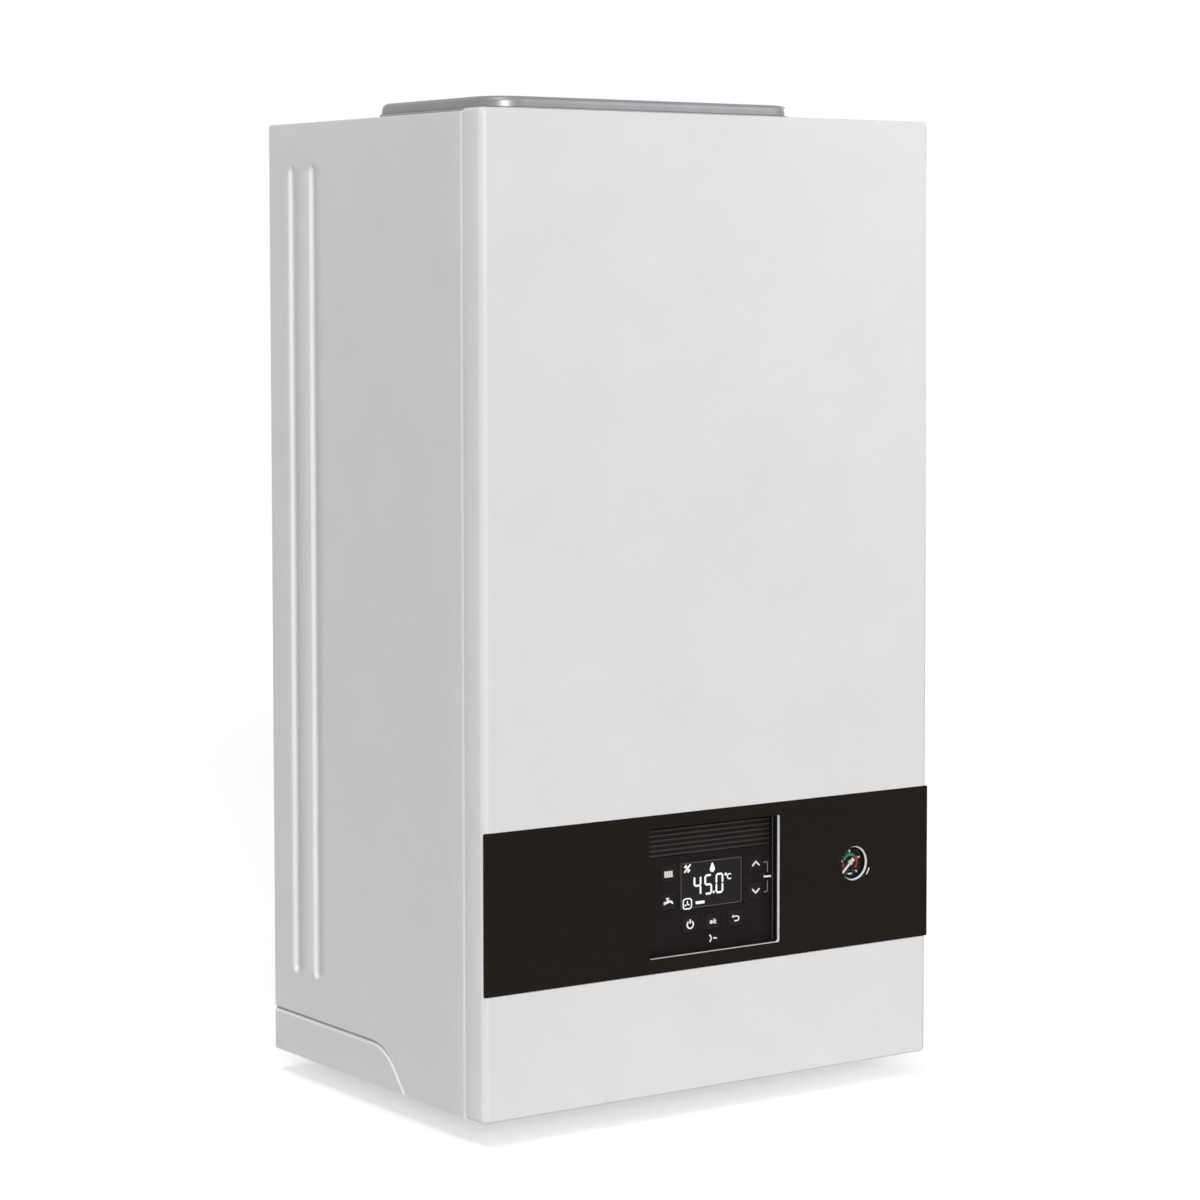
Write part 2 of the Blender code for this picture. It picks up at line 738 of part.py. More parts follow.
# Side panels: sheet steel with two pressed grooves near the wall and a folded front flange
def build_side_panel(side):
    label = "left" if side < 0 else "right"
    outer, inner = side * HALF_WIDTH, side * (HALF_WIDTH - SHEET)
    outline = [(0, 0), (0, SIDE_TOP), (SIDE_FRONT_Y, SIDE_TOP), (SIDE_FRONT_Y, 0)]
    panel = prism(label + "_side_panel", outline, "X", inner, outer)
    flange = box(
        label + "_front_flange",
        (side * (HALF_WIDTH - SHEET - SIDE_FLANGE), side * (HALF_WIDTH - WELD_DEPTH)),
        (SIDE_FRONT_Y, SIDE_FRONT_Y + SHEET),
        (SIDE_FLANGE_END, SIDE_TOP - SIDE_FLANGE_END),
    )
    join(panel, flange)
    low, high = BEAD_BOTTOM + BEAD_HALF_WIDTH, SIDE_TOP - BEAD_TOP_DROP
    for number, place in enumerate(BEAD_PLACES):
        name = f"{label}_bead_{number}"
        centre = (outer, -place, 0)
        bulge_width, bulge_depth = BEAD_HALF_WIDTH + SHEET, BEAD_DEPTH + SHEET
        bulge = bead(
            name + "_bulge", centre, bulge_width, bulge_depth, low - SHEET, high + SHEET, "X"
        )
        trim_from, trim_to = outer - side * WELD_DEPTH, outer + side * (bulge_depth + OVERRUN)
        room = (trim_from, trim_to), (-CASING_DEPTH, 0), (0, SIDE_TOP)
        cut(bulge, box(name + "_trim", *room))
        join(panel, bulge)
        cut(panel, bead(name, centre, BEAD_HALF_WIDTH, BEAD_DEPTH, low, high, "X"))
    gap_outline = lower_cover_outline(SEAM_GAP, OVERRUN, -OVERRUN)
    opening = prism(
        label + "_lower_opening", gap_outline, "X", inner - side * OVERRUN, outer + side * OVERRUN
    )
    cut(panel, opening)
    finish(panel, WHITE_ENAMEL, 0.35)
    lower = prism(
        label + "_lower_cover", lower_cover_outline(0, 0, 0), "X", inner, outer
    )
    finish(lower, WHITE_ENAMEL, 0.4)


# Roof panel: folded sheet with a round hole for the flue and air adapter
def build_roof():
    half = INSIDE_HALF
    inner, bottom = half - SHEET, SIDE_TOP - SHEET
    outline = [
        (-half, SIDE_TOP),
        (half, SIDE_TOP),
        (half, SIDE_TOP - ROOF_FLANGE),
        (inner, SIDE_TOP - ROOF_FLANGE),
        (inner, bottom),
        (-inner, bottom),
        (-inner, SIDE_TOP - ROOF_FLANGE),
        (-half, SIDE_TOP - ROOF_FLANGE),
    ]
    rear = -FRAME_FLANGE - SEAT_GAP
    roof = prism("roof_panel", outline, "Y", SIDE_FRONT_Y + SHEET + SEAT_GAP, rear)
    shelf = box(
        "roof_rear_shelf",
        (-inner + FRAME_SHEET + SEAT_GAP, inner - FRAME_SHEET - SEAT_GAP),
        (rear - WELD_DEPTH, FRAME_FRONT_Y - SEAT_GAP),
        (bottom, SIDE_TOP),
    )
    hole_radius = AIR_RADIUS + ADAPTER_WALL + SEAT_GAP
    hole = rod(
        "roof_hole", hole_radius, "Z", (0, TRAY_CENTRE_Y), bottom - OVERRUN, SIDE_TOP + OVERRUN, BIG_STEPS
    )
    join(roof, shelf)
    cut(roof, hole)
    finish(roof, WHITE_ENAMEL, 0.4)


def tray_outline(inset):
    """The tray's rounded outline, drawn in by an inset all round."""
    size = (TRAY_WIDTH - 2 * inset, TRAY_LENGTH - 2 * inset)
    return rounded_rectangle((0, TRAY_CENTRE_Y), size, TRAY_CORNER - inset, CORNER_STEPS + 1)


def tray_stack(name, wall, bottom):
    """The pressed tray's shape: a slight draft, then a round shoulder into the flat top."""
    edge = TRAY_EDGE - wall
    top = TRAY_TOP - wall
    outlines, levels = [tray_outline(wall)], [bottom]
    for step in range(ARC_STEPS + 1):
        angle = math.pi / 2 * step / ARC_STEPS
        outlines.append(tray_outline(wall + TRAY_DRAFT + edge * (1 - math.cos(angle))))
        levels.append(top - edge * (1 - math.sin(angle)))
    return stacked(name, outlines, "Z", levels)


# Silver-grey pressed tray on the roof, with the gasket that it stands on
def build_tray():
    tray = tray_stack("top_tray", 0, TRAY_BOTTOM)
    cut(tray, tray_stack("tray_hollow", TRAY_WALL, TRAY_BOTTOM - OVERRUN))
    hole_radius = AIR_RADIUS + ADAPTER_WALL + SEAT_GAP
    hole = rod(
        "tray_hole", hole_radius, "Z", (0, TRAY_CENTRE_Y), TRAY_BOTTOM, TRAY_TOP + OVERRUN, BIG_STEPS
    )
    cut(tray, hole)
    finish(tray, SILVER, 0.35, 0.6)
    top = GASKET_BOTTOM + GASKET_HEIGHT
    gasket = prism("tray_gasket", tray_outline(-GASKET_PROUD), "Z", GASKET_BOTTOM, top)
    room = tray_outline(GASKET_WIDTH - GASKET_PROUD)
    cut(gasket, prism("gasket_room", room, "Z", GASKET_BOTTOM - OVERRUN, top + OVERRUN))
    finish(gasket, (0.45, 0.46, 0.47), 0.7)


# Flue and air adapter: an outer air collar and an inner flue spigot, joined by a web with air holes
def build_flue_adapter():
    outer, spigot = AIR_RADIUS + ADAPTER_WALL, FLUE_RADIUS + ADAPTER_WALL
    web_low = SIDE_TOP - WEB_DROP
    web_high = web_low + WEB_THICKNESS
    flange_top = GASKET_BOTTOM + ADAPTER_WALL
    profile = [
        (FLUE_RADIUS, web_low - SPIGOT_DROP),
        (spigot, web_low - SPIGOT_DROP),
        (spigot, web_low),
        (outer, web_low),
        (outer, GASKET_BOTTOM),
        (outer + ADAPTER_FLANGE, GASKET_BOTTOM),
        (outer + ADAPTER_FLANGE, flange_top),
        (outer, flange_top),
        (outer, TRAY_TOP - SEAT_GAP),
        (AIR_RADIUS, TRAY_TOP - SEAT_GAP),
        (AIR_RADIUS, web_high),
        (spigot, web_high),
        (spigot, TRAY_TOP - SPIGOT_RECESS),
        (FLUE_RADIUS, TRAY_TOP - SPIGOT_RECESS),
    ]
    adapter = turned("flue_adapter", profile, "Z", (0, TRAY_CENTRE_Y), BIG_STEPS)
    ring = (AIR_RADIUS + spigot) / 2
    for number in range(AIR_HOLES):
        angle = 2 * math.pi * number / AIR_HOLES
        place = (ring * math.cos(angle), TRAY_CENTRE_Y + ring * math.sin(angle))
        low, high = web_low - OVERRUN, web_high + OVERRUN
        cut(adapter, rod(f"air_hole_{number}", AIR_HOLE_RADIUS, "Z", place, low, high, SMALL_STEPS))
    finish(adapter, (0.80, 0.80, 0.80), 0.4)
    pipe_outer = FLUE_RADIUS - FLUE_PIPE_CLEARANCE
    pipe_low = SIDE_TOP - COLLAR_TOP_DROP - COLLAR_BORE_DEPTH + SEAT_GAP
    pipe_high = web_low - SEAT_GAP
    pipe_profile = [
        (pipe_outer - FLUE_PIPE_WALL, pipe_low),
        (pipe_outer, pipe_low),
        (pipe_outer, pipe_high),
        (pipe_outer - FLUE_PIPE_WALL, pipe_high),
    ]
    pipe = turned("flue_pipe", pipe_profile, "Z", (0, TRAY_CENTRE_Y), BIG_STEPS)
    finish(pipe, (0.75, 0.75, 0.76), 0.4)


def union_places():
    """The five pipe connections, from heating flow on the left to heating return on the right."""
    return [UNION_PITCH * place for place in (-2, -1, 0, 1, 2)]


# Base tray: the bottom plate that the pipe unions are clamped in, with the ears of the control hinge
def build_base_tray():
    half = INSIDE_HALF
    inner = half - BASE_SHEET
    top = BASE_HEIGHT + BASE_FLANGE
    outline = [
        (-half, BASE_HEIGHT),
        (half, BASE_HEIGHT),
        (half, top),
        (inner, top),
        (inner, BASE_TOP),
        (-inner, BASE_TOP),
        (-inner, top),
        (-half, top),
    ]
    front, rear = SIDE_FRONT_Y + SHEET + SEAT_GAP, -FRAME_FLANGE - SEAT_GAP
    base = prism("base_tray", outline, "Y", front, rear)
    for side in (-1, 1):
        ear_inner = HOUSING_HALF + HINGE_LUG
        ear = box(
            f"hinge_ear_{side}",
            (side * ear_inner, side * (ear_inner + HINGE_EAR)),
            (HINGE_Y - HINGE_EAR_HALF, HINGE_Y + HINGE_EAR_HALF),
            (BASE_TOP - WELD_DEPTH, HINGE_Z + HINGE_EAR_HALF),
        )
        join(base, ear)
    span = HALF_WIDTH - SHEET
    hole_radius = HINGE_PIN_RADIUS + SEAT_GAP
    cut(base, rod("hinge_hole", hole_radius, "X", (HINGE_Y, HINGE_Z), -span, span, SMALL_STEPS))
    low, high = BASE_HEIGHT - OVERRUN, BASE_TOP + OVERRUN
    for number, place in enumerate(union_places()):
        cut(base, rod(f"union_hole_{number}", UNION_HOLE, "Z", (place, UNION_Y), low, high))
    trap_hole = TRAP_OUTLET + TRAP_HOLE_CLEARANCE
    cut(base, rod("trap_hole", trap_hole, "Z", (TRAP_X, TRAP_Y), low, high, SMALL_STEPS))
    gland_hole = GLAND_RADIUS + SEAT_GAP
    cut(base, rod("gland_hole", gland_hole, "Z", (GLAND_X, GLAND_Y), low, high, SMALL_STEPS))
    finish(base, GALVANISED, 0.45, 0.8)


def cover_stack(name, wall, rear):
    """The cover's shape: upright edges with a large radius, top and bottom edges with a small one."""
    height = CASING_HEIGHT - 2 * wall
    width = CASING_WIDTH - 2 * wall
    edge, top_edge = COVER_EDGE - wall, COVER_TOP_EDGE - wall
    corner = COVER_CORNER - wall
    outlines, levels = [], []
    for step in range(ARC_STEPS + 1):
        angle = math.pi / 2 * step / ARC_STEPS
        short = 1 - math.sin(angle)
        size = (width - 2 * edge * short, height - 2 * top_edge * short)
        outlines.append(rounded_rectangle((0, CASING_HEIGHT / 2), size, corner))
        levels.append(FRONT_Y + wall + edge * (1 - math.cos(angle)))
    outlines.append(outlines[-1])
    levels.append(rear)
    return stacked(name, outlines, "Y", levels)


def window_outline(grow):
    """The control window's outline, grown by a margin."""
    size = (WINDOW_WIDTH + 2 * grow, WINDOW_HEIGHT + 2 * grow)
    return rounded_rectangle((WINDOW_CENTRE_X, WINDOW_CENTRE_Z), size, WINDOW_CORNER + grow)


# Front cover: a folded steel pan, recessed behind the black band, with folded reveals round its openings
def build_front_cover():
    cover = cover_stack("front_cover", 0, COVER_REAR_Y)
    cut(cover, cover_stack("cover_hollow", SHEET, COVER_REAR_Y + OVERRUN))
    pocket_floor = FRONT_Y + BAND_THICKNESS + SEAT_GAP
    margin = SEAT_GAP + SHEET
    backing = box(
        "band_backing",
        (-HALF_WIDTH + SHEET - WELD_DEPTH, HALF_WIDTH - SHEET + WELD_DEPTH),
        (FRONT_Y + SHEET - WELD_DEPTH, pocket_floor + BACKING),
        (BAND_BOTTOM - margin, BAND_TOP + margin),
    )
    join(cover, backing)
    reveal_rear = FRONT_Y + REVEAL_DEPTH
    reveal = prism("window_reveal", window_outline(REVEAL_WALL), "Y", pocket_floor + WELD_DEPTH, reveal_rear)
    collar_rear = FRONT_Y + GAUGE_REVEAL_DEPTH
    gauge_centre = (GAUGE_X, GAUGE_Z)
    collar_radius = GAUGE_HOLE_RADIUS + REVEAL_WALL
    collar = rod("gauge_collar", collar_radius, "Y", gauge_centre, pocket_floor + WELD_DEPTH, collar_rear)
    join(cover, reveal, collar)
    for side in (-1, 1):
        for number, low in enumerate((PAD_MARGIN, CASING_HEIGHT - PAD_MARGIN - PAD_HEIGHT)):
            pad = box(
                f"seat_pad_{side}_{number}",
                (side * (HALF_WIDTH - SHEET - SIDE_FLANGE), side * (HALF_WIDTH - WELD_DEPTH)),
                (COVER_REAR_Y - PAD_DEPTH, COVER_REAR_Y - WELD_DEPTH),
                (low, low + PAD_HEIGHT),
            )
            tongue = box(
                f"seat_tongue_{side}_{number}",
                (side * (HALF_WIDTH - SHEET - SIDE_FLANGE), side * (HALF_WIDTH - SHEET)),
                (COVER_REAR_Y - PAD_DEPTH / 2, SIDE_FRONT_Y - SEAT_GAP),
                (low + WELD_DEPTH, low + PAD_HEIGHT - WELD_DEPTH),
            )
            join(cover, pad, tongue)
    pocket = box(
        "band_pocket",
        (-HALF_WIDTH - OVERRUN, HALF_WIDTH + OVERRUN),
        (FRONT_Y - OVERRUN, pocket_floor),
        (BAND_BOTTOM - SEAT_GAP, BAND_TOP + SEAT_GAP),
    )
    front, rear = FRONT_Y - OVERRUN, reveal_rear + OVERRUN
    window = prism("cover_window", window_outline(0), "Y", front, rear)
    gauge_hole = rod("cover_gauge_hole", GAUGE_HOLE_RADIUS, "Y", gauge_centre, front, rear)
    cut(cover, pocket, window, gauge_hole)
    finish(cover, WHITE_ENAMEL, 0.3)

    half = HALF_WIDTH - BAND_INSET
    band_rear = FRONT_Y + BAND_THICKNESS
    band = box("control_band", (-half, half), (FRONT_Y, band_rear), (BAND_BOTTOM, BAND_TOP))
    band_hole = GAUGE_HOLE_RADIUS + GAUGE_HOLE_STEP
    rim_radius = band_hole + RIM_WIDTH
    rim_profile = [
        (0, band_rear - WELD_DEPTH),
        (rim_radius, band_rear - WELD_DEPTH),
        (rim_radius, FRONT_Y),
        (rim_radius - RIM_SLOPE, FRONT_Y - RIM_HEIGHT),
        (0, FRONT_Y - RIM_HEIGHT),
    ]
    join(band, turned("gauge_rim", rim_profile, "Y", gauge_centre))
    window = prism("band_window", window_outline(0), "Y", front, rear)
    gauge_hole = rod("band_gauge_hole", band_hole, "Y", gauge_centre, front, rear)
    cut(band, window, gauge_hole)
    finish(band, BLACK_PLASTIC, 0.2)


def module_place(across, up):
    """A place on the display module's face, measured from the window's centre."""
    return (WINDOW_CENTRE_X + across, WINDOW_CENTRE_Z + up)


def key_places():
    """Names and places of the seven keys on the module's face."""
    lower = [LOWER_KEY_MIDDLE + LOWER_KEY_PITCH * step for step in (-1, 0, 1)]
    return {
        "heating_key": module_place(SIDE_KEY_LEFT, SIDE_KEY_UPPER),
        "hot_water_key": module_place(SIDE_KEY_LEFT, SIDE_KEY_LOWER),
        "up_key": module_place(SIDE_KEY_RIGHT, SIDE_KEY_UPPER),
        "down_key": module_place(SIDE_KEY_RIGHT, SIDE_KEY_LOWER),
        "power_key": module_place(lower[0], LOWER_KEY_ROW),
        "ok_key": module_place(lower[1], LOWER_KEY_ROW),
        "back_key": module_place(lower[2], LOWER_KEY_ROW),
    }


# Control housing: a moulded tray that tilts down on two pins, closed by a lid, with the board inside
def build_control_housing():
    half = HOUSING_HALF
    inner = half - HOUSING_WALL
    housing = box(
        "control_housing", (-half, half), (HOUSING_FRONT_Y, HOUSING_REAR_Y), (HOUSING_BOTTOM, HOUSING_TOP)
    )
    hollow = box(
        "housing_hollow",
        (-inner, inner),
        (HOUSING_FRONT_Y + HOUSING_WALL, HOUSING_REAR_Y + OVERRUN),
        (HOUSING_BOTTOM + HOUSING_WALL, HOUSING_TOP - HOUSING_WALL),
    )
    cut(housing, hollow)
    front, rear = HOUSING_FRONT_Y - OVERRUN, HOUSING_FRONT_Y + HOUSING_WALL + OVERRUN
    opening = prism("module_opening", window_outline(MODULE_RIM + SEAT_GAP), "Y", front, rear)
    gauge_opening = rod(
        "gauge_opening", GAUGE_RADIUS + SEAT_GAP, "Y", (GAUGE_X, GAUGE_Z), front, rear
    )
    cut(housing, opening, gauge_opening)
    for side in (-1, 1):
        lug = box(
            f"hinge_lug_{side}",
            (side * (half - HINGE_LUG), side * half),
            (HINGE_Y - HINGE_LUG_HALF, HINGE_Y + HINGE_LUG_HALF),
            (HINGE_Z - HINGE_LUG_HALF, HOUSING_BOTTOM + HOUSING_WALL / 2),
        )
        pin_end = half + HINGE_LUG + HINGE_EAR + SHEET
        pin = rod(
            f"hinge_pin_{side}",
            HINGE_PIN_RADIUS,
            "X",
            (HINGE_Y, HINGE_Z),
            side * (half - WELD_DEPTH),
            side * pin_end,
            SMALL_STEPS,
        )
        join(housing, lug, pin)
    set_pivot(housing, (0, HINGE_Y, HINGE_Z))
    finish(housing, BLACK_PLASTIC, 0.45)

    lid_front = HOUSING_REAR_Y + SEAT_GAP
    lid = box(
        "control_lid", (-half, half), (lid_front, lid_front + LID_THICKNESS), (HOUSING_BOTTOM, HOUSING_TOP)
    )
    set_pivot(lid, (0, HINGE_Y, HINGE_Z))
    finish(lid, GREY_PLASTIC, 0.5)

    board_half = inner - SEAT_GAP
    board_y = HOUSING_FRONT_Y + BOARD_SETBACK
    middle = (HOUSING_BOTTOM + HOUSING_TOP) / 2
    board = box(
        "control_board",
        (-board_half, board_half),
        (board_y, board_y + BOARD_THICKNESS),
        (middle - BOARD_HEIGHT / 2, middle + BOARD_HEIGHT / 2),
    )
    set_pivot(board, (0, HINGE_Y, HINGE_Z))
    finish(board, (0.02, 0.20, 0.08), 0.5)


# Display module: a frame round a sunk face, with openings for the keys, the lens and the slot cover
def build_display_module():
    rear = MODULE_FRONT_Y + MODULE_SKIRT
    module = prism("display_module", window_outline(MODULE_RIM), "Y", MODULE_FRONT_Y, rear)
    front_room = prism("module_front_room", window_outline(0), "Y", MODULE_FRONT_Y - OVERRUN, FACE_Y)
    inset = MODULE_RIM - MODULE_WALL
    rear_room = prism("module_rear_room", window_outline(inset), "Y", FACE_REAR_Y, rear + OVERRUN)
    cut(module, front_room, rear_room)
    low, high = FACE_Y - OVERRUN / 2, FACE_REAR_Y + OVERRUN / 2
    cap_rear = FACE_REAR_Y + SEAT_GAP
    for name, place in key_places().items():
        size = (KEY_WIDTH + 2 * SEAT_GAP, KEY_HEIGHT + 2 * SEAT_GAP)
        hole = rounded_rectangle(place, size, KEY_CORNER + SEAT_GAP, 2)
        cut(module, prism(name + "_opening", hole, "Y", low, high))
        cap = rounded_rectangle(place, (KEY_WIDTH, KEY_HEIGHT), KEY_CORNER, 2)
        wide = (KEY_WIDTH + 2 * KEY_FLANGE, KEY_HEIGHT + 2 * KEY_FLANGE)
        flange = rounded_rectangle(place, wide, KEY_CORNER + KEY_FLANGE, 2)
        levels = [FACE_Y - KEY_PROUD, cap_rear, cap_rear, cap_rear + KEY_FLANGE_THICKNESS]
        key = stacked(name, [cap, cap, flange, flange], "Y", levels)
        set_pivot(key, (place[0], FACE_Y, place[1]))
        finish(key, BLACK_PLASTIC, 0.35)

    lens_place = module_place(LENS_SHIFT, LENS_RISE)
    hole_size = (LENS_WIDTH + 2 * SEAT_GAP, LENS_HEIGHT + 2 * SEAT_GAP)
    hole = rounded_rectangle(lens_place, hole_size, KEY_CORNER, 2)
    cut(module, prism("lens_opening", hole, "Y", low, high))
    lens_outline = rounded_rectangle(lens_place, (LENS_WIDTH, LENS_HEIGHT), KEY_CORNER, 2)
    lens = prism("display_lens", lens_outline, "Y", FACE_Y, FACE_Y + LENS_THICKNESS)
    finish(lens, (0.03, 0.03, 0.03), 0.1)

    slot_place = module_place(0, SLOT_COVER_RISE)
    hole_size = (SLOT_COVER_WIDTH + 2 * SEAT_GAP, SLOT_COVER_HEIGHT + 2 * SEAT_GAP)
    hole = rounded_rectangle(slot_place, hole_size, SEAT_GAP, 1)
    cut(module, prism("slot_opening", hole, "Y", low, high))
    half = SLOT_COVER_WIDTH / 2
    pitch = SLOT_COVER_HEIGHT / SLOT_RIBS
    bottom = slot_place[1] - SLOT_COVER_HEIGHT / 2
    section = [(FACE_Y + SLOT_COVER_THICKNESS, bottom)]
    for rib in range(SLOT_RIBS):
        start = bottom + rib * pitch
        groove = start + pitch * SLOT_RIB_SHARE
        section += [(FACE_Y, start), (FACE_Y, groove)]
        section += [(FACE_Y + SLOT_RIB_DEPTH, groove), (FACE_Y + SLOT_RIB_DEPTH, start + pitch)]
    section.append((FACE_Y + SLOT_COVER_THICKNESS, bottom + SLOT_COVER_HEIGHT))
    slot_cover = prism("slot_cover", section, "X", slot_place[0] - half, slot_place[0] + half)
    finish(slot_cover, BLACK_PLASTIC, 0.4)
    for made in (module, lens, slot_cover):
        set_pivot(made, (0, HINGE_Y, HINGE_Z))
    finish(module, BLACK_PLASTIC, 0.3)


# Pressure gauge: a can with a dial, a pointer on a spindle and a flat glass
def build_gauge():
    centre = (GAUGE_X, GAUGE_Z)
    rear = GAUGE_FRONT_Y + GAUGE_LENGTH
    profile = [
        (0, GAUGE_FLOOR_Y),
        (GAUGE_BORE, GAUGE_FLOOR_Y),
        (GAUGE_BORE, GAUGE_FRONT_Y),
        (GAUGE_RADIUS, GAUGE_FRONT_Y),
        (GAUGE_RADIUS, rear),
        (0, rear),
    ]
    can = turned("gauge_can", profile, "Y", centre)
    spindle_hole = POINTER_PIN_RADIUS + SEAT_GAP
    dial_rear = GAUGE_FLOOR_Y - SEAT_GAP
    dial_front = dial_rear - DIAL_THICKNESS
    pointer_rear = dial_front - POINTER_LIFT
    pointer_front = pointer_rear - POINTER_THICKNESS
    pin_end = pointer_rear + POINTER_PIN_LENGTH
    bore = rod(
        "spindle_bore", spindle_hole, "Y", centre, pointer_rear, pin_end + SEAT_GAP, SMALL_STEPS
    )
    cut(can, bore)
    finish(can, (0.05, 0.05, 0.05), 0.3, 0.5)
    seat = GAUGE_BORE - SEAT_GAP
    dial_profile = [
        (spindle_hole, dial_front),
        (seat, dial_front),
        (seat, dial_rear),
        (spindle_hole, dial_rear),
    ]
    dial = turned("gauge_dial", dial_profile, "Y", centre)
    finish(dial, (0.01, 0.01, 0.01), 0.5)
    glass_front = GAUGE_FRONT_Y + GAUGE_GLASS_DROP
    glass = rod("gauge_glass", seat, "Y", centre, glass_front, glass_front + GAUGE_GLASS)
    finish(glass, (0.9, 0.9, 0.9), 0.05)
    tip = Vector((math.cos(POINTER_ANGLE), math.sin(POINTER_ANGLE)))
    aside = Vector((-tip.y, tip.x)) * POINTER_HALF_WIDTH
    middle = Vector(centre)
    corners = [
        middle - tip * POINTER_TAIL - aside,
        middle - aside,
        middle + tip * POINTER_LENGTH,
        middle + aside,
        middle - tip * POINTER_TAIL + aside,
    ]
    blade = [(corner.x, corner.y) for corner in corners]
    pointer = prism("gauge_pointer", blade, "Y", pointer_front, pointer_rear)
    hub = rod(
        "pointer_hub",
        POINTER_HUB_RADIUS,
        "Y",
        centre,
        pointer_front - SEAT_GAP,
        pointer_rear + SEAT_GAP / 2,
        SMALL_STEPS,
    )
    pin = rod("pointer_pin", POINTER_PIN_RADIUS, "Y", centre, pointer_front, pin_end, SMALL_STEPS)
    join(pointer, hub, pin)
    set_pivot(pointer, (GAUGE_X, GAUGE_FRONT_Y, GAUGE_Z))
    finish(pointer, (0.9, 0.9, 0.9), 0.4)


# Expansion vessel: two pressed steel dishes crimped together, hollow, with a water port in front
def build_vessel():
    rear, front = FRAME_FRONT_Y - SEAT_GAP, VESSEL_FRONT_Y
    middle = (rear + front) / 2
    face, shoulder = VESSEL_RADIUS * VESSEL_FACE_SHARE, VESSEL_RADIUS * VESSEL_SHOULDER_SHARE
    shoulder_drop = VESSEL_DEPTH * VESSEL_SHOULDER_DROP_SHARE
    side_drop = VESSEL_DEPTH * VESSEL_SIDE_DROP_SHARE
    half_rim, rim = VESSEL_RIM_WIDTH / 2, VESSEL_RADIUS + VESSEL_RIM
    inner = VESSEL_RADIUS - VESSEL_WALL
    bore = VESSEL_PORT_RADIUS - VESSEL_WALL
    profile = [
        (0, rear),
        (face, rear),
        (shoulder, rear - shoulder_drop),
        (VESSEL_RADIUS, rear - side_drop),
        (VESSEL_RADIUS, middle + half_rim),
        (rim, middle + half_rim),
        (rim, middle - half_rim),
        (VESSEL_RADIUS, middle - half_rim),
        (VESSEL_RADIUS, front + side_drop),
        (shoulder, front + shoulder_drop),
        (face, front),
        (VESSEL_PORT_RADIUS, front),
        (VESSEL_PORT_RADIUS, front - VESSEL_PORT),
        (bore, front - VESSEL_PORT),
        (bore, front + VESSEL_WALL),
        (face, front + VESSEL_WALL),
        (inner, front + side_drop),
        (inner, rear - side_drop),
        (face, rear - VESSEL_WALL),
        (0, rear - VESSEL_WALL),
    ]
    vessel = turned("expansion_vessel", profile, "Y", (0, SIDE_TOP - VESSEL_DROP), BIG_STEPS)
    finish(vessel, (0.45, 0.04, 0.03), 0.4)


